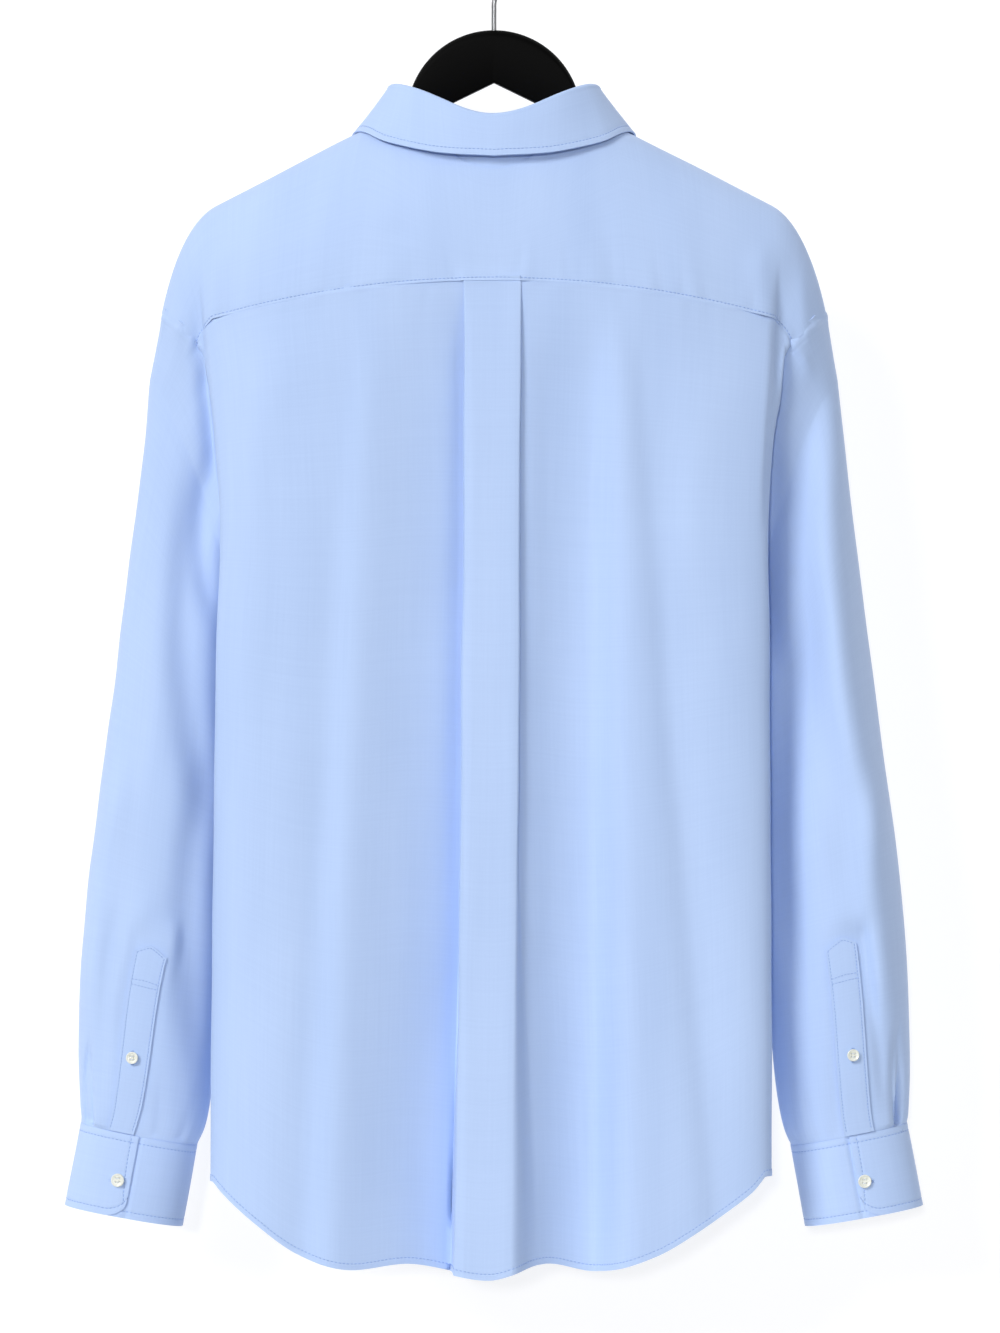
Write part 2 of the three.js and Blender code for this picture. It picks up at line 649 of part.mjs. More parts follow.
// Cuff: a band whose outer end lies over its inner end, its lower corner rounded
function cuff(name, side) {
  const lap = CUFF.wall + GAP;
  const end = PI / 2 + 2 * PI + 0.02;
  const begin = PI / 2 - CUFF.overlap;
  const angles = [...steps(begin, end - 0.27, 25), end - 0.17, end - 0.09, end - 0.04, end];
  const radius = 38;
  const rows = steps(0, 1, 2);
  const grid = rows.map((v) => angles.map((angle) => {
    const under = 1 - smooth((angle - begin) / (CUFF.overlap + 0.45));
    const fromEnd = (end - angle) * radius;
    const r = CUFF.corner;
    const lift = fromEnd < r ? r - sqrt(r * r - (r - fromEnd) ** 2) : 0;
    const top = oval({ ...CUFF.top, y: CUFF.y, half: CUFF.half }, angle, side, -lap * under);
    const foot = oval({ ...CUFF.foot, y: CUFF.y, half: CUFF.half }, angle, side, -lap * under);
    const length = top.distanceTo(foot);
    return top.lerp(foot, v * (1 - lift * v / length));
  }));
  clothWall(name, anticlockwise(grid, side), { wall: CUFF.wall });
  return (angle, v, out) => {
    const top = oval({ ...CUFF.top, y: CUFF.y, half: CUFF.half }, angle, side, out);
    return top.lerp(oval({ ...CUFF.foot, y: CUFF.y, half: CUFF.half }, angle, side, out), v);
  };
}

// Sleeve placket: a strip with a pointed tip, on the back of the sleeve above the cuff
function gauntlet(name, side, surface) {
  const shares = steps(0, 1, 8);
  const across = steps(-1, 1, 4);
  const foot = SLEEVE.length - 1.05;
  const set = side < 0 ? GAUNTLET.left : GAUNTLET.right;
  const tip = foot - set.up;
  const centre = (v) => {
    const place = lerp(tip, foot, v);
    const ring = sleeveRing(place);
    const at = lerp(set.tip, set.foot, v ** 0.7);
    return { place, angle: PI / 2 + at, radius: (ring.outX - ring.inX) / 2 };
  };
  const grid = shares.map((v) => across.map((a) => {
    const { place, angle, radius } = centre(v);
    const p = surface(place, angle + a * GAUNTLET.halfWidth / radius, LAYER + 0.25);
    p.z += (1 - abs(a)) * GAUNTLET.point * (v === 0 ? 1 : 0);
    return p;
  }));
  clothWall(name, anticlockwise(grid, side));
  return (v, out) => {
    const { place, angle } = centre(v);
    return surface(place, angle, out);
  };
}

// Collar
// Angles run from the back's middle round the neck; the left end lies over the right

// How far the fold stands above the neck seam
const foldRise = (angle) => 27 + 6.5 * cos(angle) + 6 * cos(2 * angle);

const LEAF_EDGE = [
  { angle: 0, x: 0, y: -69, z: -170 },
  { angle: 35, x: 42, y: -64, z: -167 },
  { angle: 60, x: 77, y: -46, z: -158.5 },
  { angle: 76, x: 92, y: -23, z: -150.6 },
  { angle: 90, x: 99.5, y: 0, z: -148.6 },
  { angle: 102, x: 102.5, y: 17, z: -152 },
  { angle: 115, x: 104, y: 37, z: -167 },
  { angle: 140, x: 92, y: 63, z: -205 },
  { angle: 172, x: 53, y: 80, z: -256 },
];

function collarFold(angle) {
  const foot = neck(angle);
  const z = shoulder(foot.w, foot.turn).z + foldRise(angle);
  return point(72 * sin(angle), 2 - 52 * cos(angle), z);
}

const FOLD_DROP = 4.5;
const LEAF_END = 172 * PI / 180;
const COLLAR_ANGLES = steps(-LEAF_END, LEAF_END, 30);

// The stand at an angle, from its foot (0) to its top (1), the right end under the left
function standPoint(angle, v) {
  const seat = neck(angle, 2);
  const foot = shoulder(seat.w, seat.turn);
  foot.z = shoulder(neck(angle).w, neck(angle).turn).z + 0.7;
  const top = collarFold(angle);
  top.z -= FOLD_DROP;
  const under = (STAND_WALL + GAP) * smooth((angle - PI + 0.5) / 0.3);
  const p = foot.lerp(top, v);
  p.x -= under * sin(angle);
  p.y += under * cos(angle);
  return p;
}

function collarStand() {
  const lap = 0.16;
  const angles = [-PI - lap, -PI, ...COLLAR_ANGLES, PI, PI + lap];
  const rows = [1, 0.5, 0];
  const grid = rows.map((v) => angles.map((angle) => standPoint(angle, v)));
  clothWall("collar_stand", grid, { wall: STAND_WALL });
}

function collarLeaf() {
  const angles = COLLAR_ANGLES;
  const fold = 2.3;
  const overFold = steps(PI, 0, 3).map((a) => ({ out: fold + fold * cos(a), up: -fold + fold * sin(a) }));
  const falls = [0.15, 0.42, 0.7, 1];
  const grid = [
    ...[{ out: 0, up: -FOLD_DROP + 2 * GAP }, ...overFold].map(({ out, up }) => angles.map((angle) => {
      const p = collarFold(angle);
      return point(p.x + out * sin(angle), p.y - out * cos(angle), p.z + up);
    })),
    ...falls.map((v) => angles.map((angle) => {
      const side = angle < 0 ? -1 : 1;
      const degrees = abs(angle) * 180 / PI;
      const p = collarFold(angle);
      const start = point(p.x + 2 * fold * sin(angle), p.y - 2 * fold * cos(angle), p.z - fold);
      const edge = point(
        side * look(LEAF_EDGE, "angle", degrees, "x"),
        look(LEAF_EDGE, "angle", degrees, "y"),
        look(LEAF_EDGE, "angle", degrees, "z"),
      );
      return start.lerp(edge, v);
    })),
  ];
  clothWall("collar_leaf", grid);
}

// Buttons

function button(name, diameter, foot, normal) {
  const r = diameter / 2;
  const t = BUTTON.thick * diameter / BUTTON.front;
  const profile = [
    [0, 0], [0.85 * r, 0], [r, 0.5 * t], [0.88 * r, t], [0.7 * r, 0.74 * t], [0, 0.7 * t],
  ].map(([x, y]) => new THREE.Vector2(x, y));
  const mesh = add(name, new THREE.LatheGeometry(profile, 12), shell());
  mesh.position.copy(foot);
  mesh.quaternion.setFromUnitVectors(new THREE.Vector3(0, 1, 0), normal.clone().normalize());
}

// A foot and a normal from a surface given by two places and a distance out
function seat(surface, out) {
  const foot = surface(out);
  return { foot, normal: surface(out + 1).sub(foot) };
}

function frontButtons() {
  const column = { top: frontTop(PI), chest: 0 };
  const out = LAYER + WALL / 2 + GAP;
  FRONT_BUTTONS.forEach((z, i) => {
    if (i === 0) {
      const down = standPoint(-PI, 0).sub(standPoint(-PI, 1));
      const normal = down.cross(point(-1, 0, 0)).normalize();
      const foot = standPoint(-PI, 0.5).setX(0).addScaledVector(normal, STAND_WALL / 2 + GAP);
      button("front_button_1", BUTTON.front, foot, normal);
      return;
    }
    let [low, high] = [0, 1];
    for (let k = 0; k < 30; k += 1) {
      const middle = (low + high) / 2;
      if (frontPoint(column, middle).z > z) low = middle;
      else high = middle;
    }
    const p = frontPoint(column, low);
    const down = frontPoint(column, low + 0.01).sub(frontPoint(column, low - 0.01));
    const normal = down.clone().cross(point(-1, 0, 0)).normalize();
    button(`front_button_${i + 1}`, BUTTON.front, p.addScaledVector(normal, out), normal);
  });
}

// Hanger

function loft(sections) {
  const n = sections[0].length;
  const position = sections.flat().flatMap((p) => [p.x, p.y, p.z]);
  const index = [];
  for (let i = 0; i < sections.length - 1; i += 1) {
    for (let j = 0; j < n; j += 1) {
      const k = (j + 1) % n;
      index.push(i * n + j, i * n + k, (i + 1) * n + k, i * n + j, (i + 1) * n + k, (i + 1) * n + j);
    }
  }
  const last = (sections.length - 1) * n;
  for (let j = 1; j < n - 1; j += 1) {
    index.push(0, j + 1, j, last, last + j, last + j + 1);
  }
  return new wasm.Manifold(new wasm.Mesh({
    numProp: 3, vertProperties: new Float32Array(position), triVerts: new Uint32Array(index),
  }));
}

function fromManifold(solid) {
  const mesh = solid.getMesh();
  const geometry = new THREE.BufferGeometry();
  geometry.setAttribute("position", new THREE.Float32BufferAttribute(mesh.vertProperties, 3));
  geometry.setIndex([...mesh.triVerts]);
  return geometry;
}

// The arms follow the shoulders from below; the head is a dome over a notch
function hanger() {
  const { dome, domeTop, notch, notchSlope, end, thin, wide } = HANGER;
  const half = [0, 9, 18, 27, 36, 44, 51, 56.5, 60, 62, 62.9, 75, 95, 120, 150, 175, 195, end];
  const xs = [...half.slice(1).reverse().map((x) => -x), ...half];
  const sections = xs.map((x) => {
    const arm = ridgeHeight(x) - WALL / 2 - HANGER.clear;
    const head = abs(x) < dome ? domeTop - dome + sqrt(dome * dome - x * x) : -Infinity;
    const top = max(arm, head);
    const bottom = notch - notchSlope * abs(x);
    const y = lerp(thin, wide * 0.75, smooth(abs(x) / end));
    const crown = min(7, 0.55 * (top - bottom));
    const upper = steps(0, PI, 6).map((a) => point(x, y * cos(a), top - crown + crown * sin(a)));
    return [...upper, point(x, -0.8 * y, bottom), point(x, 0.8 * y, bottom)];
  });
  const bore = wasm.Manifold.cylinder(60, HOOK.bore, HOOK.bore, 16).translate([0, 0, HOOK.shank - 1]);
  const solid = loft(sections).subtract(bore);
  const black = new THREE.MeshStandardMaterial({ color: "#0b0b0c", roughness: 0.45, metalness: 0 });
  add("hanger", fromManifold(solid), black);
}

// A straight shank that swings out into a round hook over the rail
function hook() {
  const { radius, shank } = HOOK;
  const centre = WIRE - radius;
  const arc = steps(-48, 205, 22).map((a) => a * PI / 180)
    .map((a) => point(radius * cos(a), 0, centre + radius * sin(a)));
  const route = [
    point(0, 0, shank), point(0, 0, -80), point(0, 0, -62), point(0.6, 0, -53),
    point(6.5, 0, -43.5), ...arc,
  ];
  const circle = new THREE.Shape().absarc(0, 0, WIRE, 0, 2 * PI, false);
  const path = new THREE.CatmullRomCurve3(route, false, "centripetal");
  const geometry = new THREE.ExtrudeGeometry(circle, { steps: 40, extrudePath: path, curveSegments: 3 });
  add("hook", geometry, new THREE.MeshStandardMaterial({ color: "#8c8c8c", roughness: 0.3, metalness: 1 }));
}

// The whole shirt

yoke();
backPanel();
frontPanel("front_left", -1, 0);
frontPanel("front_right", 1, LAYER);
frontPlacket();
collarStand();
collarLeaf();

[["left", -1], ["right", 1]].forEach(([word, side]) => {
  const sleeveSurface = sleeve(`sleeve_${word}`, side);
  const cuffSurface = cuff(`cuff_${word}`, side);
  const strip = gauntlet(`gauntlet_${word}`, side, sleeveSurface);
  const onCuff = seat((out) => cuffSurface(PI / 2 + (side < 0 ? -0.14 : -0.06), 0.56, out), CUFF.wall / 2 + 0.3);
  button(`cuff_button_${word}`, BUTTON.cuff, onCuff.foot, onCuff.normal);
  const onStrip = seat((out) => strip(BUTTON_SHARE, out), LAYER + 0.25 + WALL / 2 + 0.6);
  button(`gauntlet_button_${word}`, BUTTON.sleeve, onStrip.foot, onStrip.normal);
});

frontButtons();
hanger();
hook();

export default group;
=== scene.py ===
"""A long sleeve dress shirt on a hanger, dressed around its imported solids.

All shapes are worked out in millimetres in the frame of the solids: +Z up, the back of the
shirt towards -Y, the inside top of the hook at the origin. A cloth surface is a grid of points,
rows downwards and columns anticlockwise from above, so that its faces point out of the garment."""

import math

import bpy
import numpy as np
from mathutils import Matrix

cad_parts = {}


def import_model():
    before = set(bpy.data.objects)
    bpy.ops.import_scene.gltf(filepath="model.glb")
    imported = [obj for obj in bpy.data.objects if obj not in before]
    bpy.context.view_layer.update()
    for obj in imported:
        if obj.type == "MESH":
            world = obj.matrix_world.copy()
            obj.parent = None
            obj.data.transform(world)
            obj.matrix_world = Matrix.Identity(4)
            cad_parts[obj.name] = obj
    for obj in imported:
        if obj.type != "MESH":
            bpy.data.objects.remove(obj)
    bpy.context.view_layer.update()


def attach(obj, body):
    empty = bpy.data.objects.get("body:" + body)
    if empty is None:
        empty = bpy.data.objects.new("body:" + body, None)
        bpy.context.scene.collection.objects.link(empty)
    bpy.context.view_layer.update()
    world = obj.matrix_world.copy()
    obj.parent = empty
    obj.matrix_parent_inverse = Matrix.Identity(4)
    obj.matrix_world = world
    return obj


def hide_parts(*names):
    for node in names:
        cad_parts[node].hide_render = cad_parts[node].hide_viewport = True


PI = math.pi
MM = 0.001
WORDS = {-1: "left", 1: "right"}

# Cloth: the wall's thickness, the space between two pieces, and from one layer to the next
WALL = 0.9
GAP = 0.35
LAYER = 1.55
STAND_WALL, LEAF_WALL, CUFF_WALL, PLACKET_WALL, GAUNTLET_WALL = 1.4, 1.2, 1.6, 1.2, 1.1

# Stitches: how far each row lies from its edge
YOKE_STITCH, HEM_STITCH, PLACKET_STITCH, CUFF_STITCH, LEAF_STITCH = 2.2, 4.4, 5, 5, 4.8
GAUNTLET_STITCH = 1.8
GAUNTLET_BARS = (20, 23)

# Shoulders
RIDGE_PEAK, RIDGE_SLOPE, RIDGE_ROUND = -91.7, 0.54, 45
SHOULDER, CAP_END = 200, 290
CAP_BEND_X, CAP_BEND_Z = 225, -216
TIP_X, TIP_Z = 238.5, -279.5
YOKE_Z, YOKE_ARCH = -259, 26
YOKE_END_X, YOKE_END_Y, YOKE_END_Z = 212, -31, -303.5
CHEST_Z = -330
FRONT_SEAM_Y = 28

# Body
BACK_Y, EDGE_Y, FRONT_Y = -70, -44, 75
BACK_HOLLOW, FRONT_SWELL = 9, 5
UNDERARM_X, UNDERARM_Y, UNDERARM_Z = 172, 26, -484
CHEST_END_X, CHEST_END_Y = 200, 49
SIDE_HEM_Z, HEM_MIDDLE_Z, BACK_LENGTH = -884, -960, 640

# Neck and collar
NECK_X, NECK_Y, NECK_MIDDLE = 72, 60, 2
NECK_SEAM_ANGLE = math.radians(115)
FOLD_DROP, FOLD_RADIUS, FOLD_Y = 4.5, 2.3, 52
STAND_LAP = 0.16
LEAF_END = math.radians(172)

# Half widths of the back as it hangs
WIDTH_Z = [-286, -332, -371, -430, -514, -629, -830, -980]
WIDTH_LEFT = [206, 200, 197, 193, 196, 199, 202, 201]
WIDTH_RIGHT = [201, 199, 195, 192, 194, 196, 198, 197]

# Lower edges: height against place across
HEM_X = [-202, -168, -139, -104, -60, -4, 36, 74, 116, 145, 186, 198]
HEM_Z = [-900, -929, -950, -961, -958, -968, -958, -964, -952, -936, -908, -896]
FRONT_HEM_X = [0, 90, 140, 168, 176]
FRONT_HEM_Z = [-946, -940, -920, -894, -884]

# Box pleat: middle and half width of the strip, how far its sides fold under, how deep
PLEAT_Z = [-255, -400, -640, -980]
PLEAT_MIDDLE = [-1, -1.5, -3, -7]
PLEAT_HALF = [20.2, 20.4, 21, 23]
PLEAT_OVERLAP = [17, 12, 5, 0]
PLEAT_DEPTH = [4.2, 5.5, 9, 15]
PRESSED, OPENING, FOLD_ROUND = 230, 470, 1.35
PLEAT_END, FLAT_END, FLAT_BACK = 28, 178, 180
PLEAT_REACH_LEFT, PLEAT_REACH_RIGHT = 44, 80
PLEAT_SHARE_LEFT, PLEAT_SHARE_RIGHT = 1.1, 0.62
TURNS = 7
LAST_FOLD = 2 * TURNS + 3
SINES = np.sin(np.linspace(0, PI, TURNS))
COSINES = np.cos(np.linspace(0, PI, TURNS))

# The back's long folds: place at the yoke and the hem, depth there (+ is a trough), and how far
# they reach to the left and to the right
FOLDS = [
    (-178, -184, -3, -10, 14, 70),
    (-90, -116, -1.5, -4, 16, 22),
    (-104, -134, 0.5, 4, 16, 12),
    (-22, -27, 0, 15, 54, 12),
    (-14, -19, 6, 9, 14, 12),
    (40, 43, 1.5, 3.5, 15, 26),
    (67, 69, 1, 24, 38, 16),
    (90, 98, -1.5, -3, 14, 30),
    (102, 160, 2.5, 4, 12, 24),
    (188, 196, -1.5, -6, 60, 12),
]
FOLD_GROWTH = 0.55

# Sleeve rings from under the armhole to the cuff: outer and inner line, depth, freedom
SLEEVE = {
    "out_x": [247, 255, 266, 276, 285, 293, 297.5, 299, 298.5, 297],
    "out_z": [-334, -402, -480, -560, -628, -696, -758, -812, -846, -862],
    "in_x": [186, 188, 189, 190, 191, 194, 199, 203, 208, 214.5],
    "in_z": [-497, -516, -556, -612, -668, -726, -782, -832, -862, -878],
    "y": [25, 23, 21, 18, 14, 11, 9, 7, 6, 5],
    "half": [35, 43, 50, 53, 53, 49, 45, 40, 34, 30],
    "free": [0.65, 0.85, 1, 1, 1, 1, 1, 1, 1, 1],
}
CUFF_TOP = {"out_x": 297, "out_z": -862, "in_x": 214.5, "in_z": -878, "y": 5, "half": 30}
CUFF_FOOT = {"out_x": 308.5, "out_z": -921, "in_x": 225, "in_z": -936, "y": 5, "half": 30}
CUFF_OVERLAP, CUFF_CORNER, CUFF_RADIUS = 0.62, 11, 38
CUFF_BEGIN = PI / 2 - CUFF_OVERLAP
CUFF_END = PI / 2 + 2 * PI + 0.02

# Sleeve plackets: turn at the tip and foot, and how many sleeve rings they reach up
GAUNTLET = {
    -1: {"tip": 0.02, "foot": -0.25, "up": 3.49},
    1: {"tip": -0.043, "foot": -0.135, "up": 3.57},
}
GAUNTLET_HALF, GAUNTLET_POINT, GAUNTLET_OUT = 8.7, 6.5, 1.5
GAUNTLET_FOOT = 8.95
BUTTON_SHARE = 0.395

# The collar leaf's edge, against degrees round the neck
LEAF_ANGLE = [0, 35, 60, 76, 90, 102, 115, 140, 172]
LEAF_X = [0, 42, 77, 92, 99.5, 102.5, 104, 92, 53]
LEAF_Y = [-69, -64, -46, -23, 0, 17, 37, 63, 80]
LEAF_Z = [-170, -167, -158.5, -150.6, -148.6, -152, -167, -205, -256]
LEAF_TUCK = 4.5

# Buttons
CUFF_BUTTON, GAUNTLET_BUTTON, FRONT_BUTTON = 9.7, 8.8, 11
FRONT_BUTTONS = [-197, -284, -384, -484, -584, -684, -784]
PLACKET_HALF = 16

# Columns and rows of the grids
SEAM_NODES = [90, 120, 150, 180, 200, 222, 245, 268, CAP_END]
YOKE_NODES = [118, 139, 160, 180, 200, 222, 245, 268, CAP_END]
BACK_NODES = [180, 190, 200, 211, 222, 245, 268, CAP_END]
YOKE_ROWS = [1, 0.93, 0.84, 0.73, 0.6, 0.46, 0.31, 0.16, 0]
CLOSE_ROWS = [0.8, 1.6, 2.4, 3.2, 4, 4.8, 5.6, 6.4, 7.5]
CHEST_ROW = 0.24

# Valleys where the sleeves meet the shoulders: from x, z to x, z, height (- is a trough), then
# how far they reach to the left and to the right
VALLEYS = [
    (-213, -245, -197, -420, -8, 8, 2.5),
    (-226, -232, -228, -300, 1.5, 6, 6),
    (205, -245, 194, -420, -7, 2.5, 10),
    (221, -236, 224, -330, 2, 6, 6),
]

# Creases: from x, z to x, z, height (- is a trough), width
YOKE_CREASES = [
    (-193, -232, -199, -300, 1.8, 8),
    (190, -232, 196, -300, 1.8, 8),
    (-62, -168, 52, -169, -0.8, 1.8),
    (-60, -215, -84, -250, -0.8, 9),
    (74, -200, 88, -262, -0.8, 10),
    (-130, -190, -150, -262, -0.7, 12),
    (128, -196, 146, -270, 0.8, 12),
]
BACK_CREASES = [
    (-150, -300, -166, -620, 1.2, 14),
    (150, -330, 160, -700, 1.0, 14),
]
FRONT_CREASES = [
    (60, -330, 72, -900, 3.0, 22),
    (110, -420, 120, -930, -2.5, 18),
]
SLEEVE_CREASES = {
    -1: [
        (-246, -330, -272, -660, 11, 15),
        (-274, -610, -286, -800, 9, 14),
        (-214, -390, -206, -640, -7, 13),
        (-206, -600, -212, -820, -5, 12),
        (-204, -380, -204, -500, -5, 8),
        (-268, -700, -278, -860, -2.5, 7),
        (-247, -690, -262, -860, 2.5, 9),
        (-289, -800, -291, -872, -3.5, 2.6),
    ],
    1: [
        (246, -330, 276, -660, 14, 17),
        (276, -610, 288, -800, 11, 15),
        (228, -480, 212, -760, -10, 17),
        (203, -380, 203, -540, -6, 9),
        (270, -700, 282, -860, -2.5, 7),
        (250, -690, 262, -860, 2.5, 9),
        (290, -786, 289, -872, -3.5, 2.6),
    ],
}
SLEEVE_FRONT_CREASES = [
    (232, -360, 240, -620, 2.0, 10),
    (214, -440, 212, -660, -2.0, 9),
]

# Hanger: its head's dome and notch, its ends, its depth in the middle and at the ends
HEAD_RADIUS, HEAD_Z, NOTCH_X = 63, -75, 56
HANGER_END, HANGER_DROP = 199, 2.5
HANGER_FOOT_Z, HANGER_FOOT_SLOPE = -113, 0.488
HANGER_THIN, HANGER_THICK = 6.5, 9.0

# Hook: the bend's middle line, the wire's half thickness, and where it leaves the hanger
HOOK_RADIUS, WIRE = 21.8, 1.8
HOOK_X = [0, 0, 0, 0.6, 6.5]
HOOK_Z = [-98, -80, -62, -53, -43.5]
WIRE_SIDES = 20

# Studio, in metres
FLOOR_Z, FLOOR_FRONT, FLOOR_BACK, FLOOR_BEND = -1.9, -0.6, 0.06, 0.05
BACKDROP_TOP, BACKDROP_GLOW, STUDIO_HALF = 0.75, 0.76, 1.5
KEY_LIGHT, FRONT_LIGHT, FILL_LIGHT, ROOM_LIGHT = 1.98, 0.86, 0.22, 0.285
CAMERA_FAR, VIEW_HEIGHT, VIEW_X, VIEW_Z, SENSOR = 5, 0.96, 0.0043, -0.5333, 36


# Small helpers


def join(*parts, axis=0):
    """The parts one after another."""
    return np.concatenate(parts, axis)


def lerp(a, b, t):
    """From a to b at share t."""
    return a + (b - a) * t


def bend(a, b, c, t):
    """The quadratic curve from a to c, drawn towards b: (1-t)^2 a + 2t(1-t) b + t^2 c."""
    return (1 - t) ** 2 * a + 2 * t * (1 - t) * b + t * t * c


def smooth(t):
    """0 below 0, 1 above 1, and 3t^2 - 2t^3 between."""
    t = np.clip(t, 0, 1)
    return t * t * (3 - 2 * t)


def power(base, exponent):
    """A power of what is above 0."""
    return np.maximum(base, 0) ** exponent


def bell(x, middle, width):
    """e to minus the square of the distance from the middle over the width."""
    return np.exp(-(((x - middle) / width) ** 2))


def xyz(x, y, z):
    """Points whose three coordinates are given as grids that fit one another."""
    return np.stack(np.broadcast_arrays(x, y, z), -1).astype(float)


def unit(way):
    """Each way over its own length."""
    return way / np.linalg.norm(way, axis=-1, keepdims=True)


def run_down(grid):
    """The distance run from the first point or row, added up along the first axis."""
    step = np.linalg.norm(np.diff(grid, axis=0), axis=-1)
    return join(np.zeros_like(step[:1]), np.cumsum(step, 0))


def fine(values, parts):
    """The values with each step between two of them cut into equal parts."""
    values = np.asarray(values, float)
    n = len(values) - 1
    return np.interp(np.linspace(0, n, n * parts + 1), np.arange(n + 1), values)


def curve(places, values, at):
    """A smooth curve through a table: cubics whose slope at a row is that between its
    neighbours, level beyond the ends."""
    p, v = np.asarray(places, float), np.asarray(values, float)
    if p[0] > p[-1]:
        p, v = p[::-1], v[::-1]
    rise = np.diff(v) / np.diff(p)
    slope = join(rise[:1], (v[2:] - v[:-2]) / (p[2:] - p[:-2]), rise[-1:])
    at = np.clip(at, p[0], p[-1])
    i = np.clip(np.searchsorted(p, at, side="right") - 1, 0, len(p) - 2)
    span = p[i + 1] - p[i]
    u = (at - p[i]) / span
    return (
        (2 * u**3 - 3 * u**2 + 1) * v[i]
        + (u**3 - 2 * u**2 + u) * span * slope[i]
        + (3 * u**2 - 2 * u**3) * v[i + 1]
        + (u**3 - u**2) * span * slope[i + 1]
    )


def along(x, y, share):
    """The point at a share of a polyline's length. Polylines run along the last axis."""
    run = np.cumsum(np.hypot(np.diff(x, axis=-1), np.diff(y, axis=-1)), -1)
    run = join(np.zeros_like(run[..., :1]), run, axis=-1)
    target = np.clip(share, 0, 1) * run[..., -1]
    i = np.clip((run < target[..., None]).sum(-1) - 1, 0, x.shape[-1] - 2)

    def pick(a, k):
        return np.take_along_axis(a, k[..., None], -1)[..., 0]

    low, high = pick(run, i), pick(run, i + 1)
    t = (target - low) / (high - low)
    return lerp(pick(x, i), pick(x, i + 1), t), lerp(pick(y, i), pick(y, i + 1), t)


def normals(grid, closed=False):
    """Unit normals: the way down crossed with the way across."""
    across = np.roll(grid, -1, 1) - np.roll(grid, 1, 1) if closed else np.gradient(grid, axis=1)
    n = np.cross(np.gradient(grid, axis=0), across)
    return n / np.maximum(np.linalg.norm(n, axis=-1, keepdims=True), 1e-9)


def raised(grid, amount, closed=False):
    """The grid moved out along its normals."""
    return grid + normals(grid, closed) * np.asarray(amount)[..., None]


def mirrored(rows, side):
    """Creases whose x is given for the right, for the side asked."""
    return [(side * x1, z1, side * x2, z2, height, width) for x1, z1, x2, z2, height, width in rows]


# Shoulders: w runs along the shoulder from the neck and round the hanger's end


def cap_share(w):
    """0 on the hanger's arm, and 1 where the bend round its end is done."""
    return np.clip((abs(w) - SHOULDER) / (CAP_END - SHOULDER), 0, 1)


def ridge_height(x):
    """A straight slope each way, rounded at the middle as a hyperbola."""
    return RIDGE_PEAK - RIDGE_SLOPE * np.sqrt(x * x + RIDGE_ROUND**2)


def ridge(w):
    """Straight along the hanger's arm, then one quadratic bend down to the sleeve."""
    k = cap_share(w)
    on_arm = abs(w) <= SHOULDER
    x = bend(SHOULDER, CAP_BEND_X, TIP_X, k)
    z = bend(ridge_height(SHOULDER), CAP_BEND_Z, TIP_Z, k)
    return np.sign(w) * np.where(on_arm, abs(w), x), np.where(on_arm, ridge_height(w), z)


def yoke_seam(w):
    """The seam below the yoke: a shallow arch across, then forward to the armhole."""
    x = np.minimum(abs(w), SHOULDER)
    k = cap_share(w)
    y = np.where(k > 0, lerp(EDGE_Y, YOKE_END_Y, k), lerp(BACK_Y, EDGE_Y, (x / SHOULDER) ** 3))
    arch = YOKE_Z - YOKE_ARCH * (x / SHOULDER) ** 2
    z = np.where(k > 0, lerp(YOKE_Z - YOKE_ARCH, YOKE_END_Z, k), arch)
    return np.sign(w) * (x + (YOKE_END_X - SHOULDER) * np.sin(k * PI / 2)), y, z


def armhole_front(z):
    """x by a square and y by a power of a sine from under the arm up to the chest."""
    k = np.clip((z - UNDERARM_Z) / (CHEST_Z - UNDERARM_Z), 0, 1)
    y = UNDERARM_Y + (CHEST_END_Y - UNDERARM_Y) * power(np.sin(k * PI / 2), 0.6)
    return UNDERARM_X + (CHEST_END_X - UNDERARM_X) * k * k, y


def armhole_back(z):
    """x by a cube and y by a power of a sine from under the arm up to the yoke's end."""
    k = np.clip((z - UNDERARM_Z) / (YOKE_END_Z - UNDERARM_Z), 0, 1)
    y = lerp(UNDERARM_Y, YOKE_END_Y, power(np.sin(k * PI / 2), 0.8))
    return lerp(UNDERARM_X, YOKE_END_X, k**3), y


def front_section(z, share):
    """The front's plan at a height: a quarter of a squared oval, share 0 at its middle."""
    z, share = np.broadcast_arrays(np.asarray(z, float), share)
    x, y = armhole_front(z)
    middle = FRONT_Y + FRONT_SWELL * np.clip((CHEST_Z - z) / 600, 0, 1)
    t = np.linspace(0, PI / 2, 61)
    line_x = x[..., None] * power(np.sin(t), 0.8)
    line_y = y[..., None] + (middle - y)[..., None] * power(np.cos(t), 0.62)
    px, py = along(line_x, line_y, abs(share))
    return np.sign(share) * px, py


def shoulder(w, turn):
    """The shoulders: a quarter ellipse from the yoke seam (turn -1) up to the ridge (0) and
    another down to the chest (1)."""
    w, turn = np.broadcast_arrays(np.asarray(w, float), turn)
    top_x, top_z = ridge(w)
    back_x, back_y, back_z = yoke_seam(w)
    front_x, front_y = front_section(CHEST_Z, w / CAP_END)
    behind = turn < 0
    x = np.where(behind, back_x, front_x)
    y = np.where(behind, back_y, front_y)
    z = np.where(behind, back_z, CHEST_Z)
    a = turn * PI / 2
    return xyz(x + (top_x - x) * np.cos(a), y * np.sin(abs(a)), z + (top_z - z) * np.cos(a))


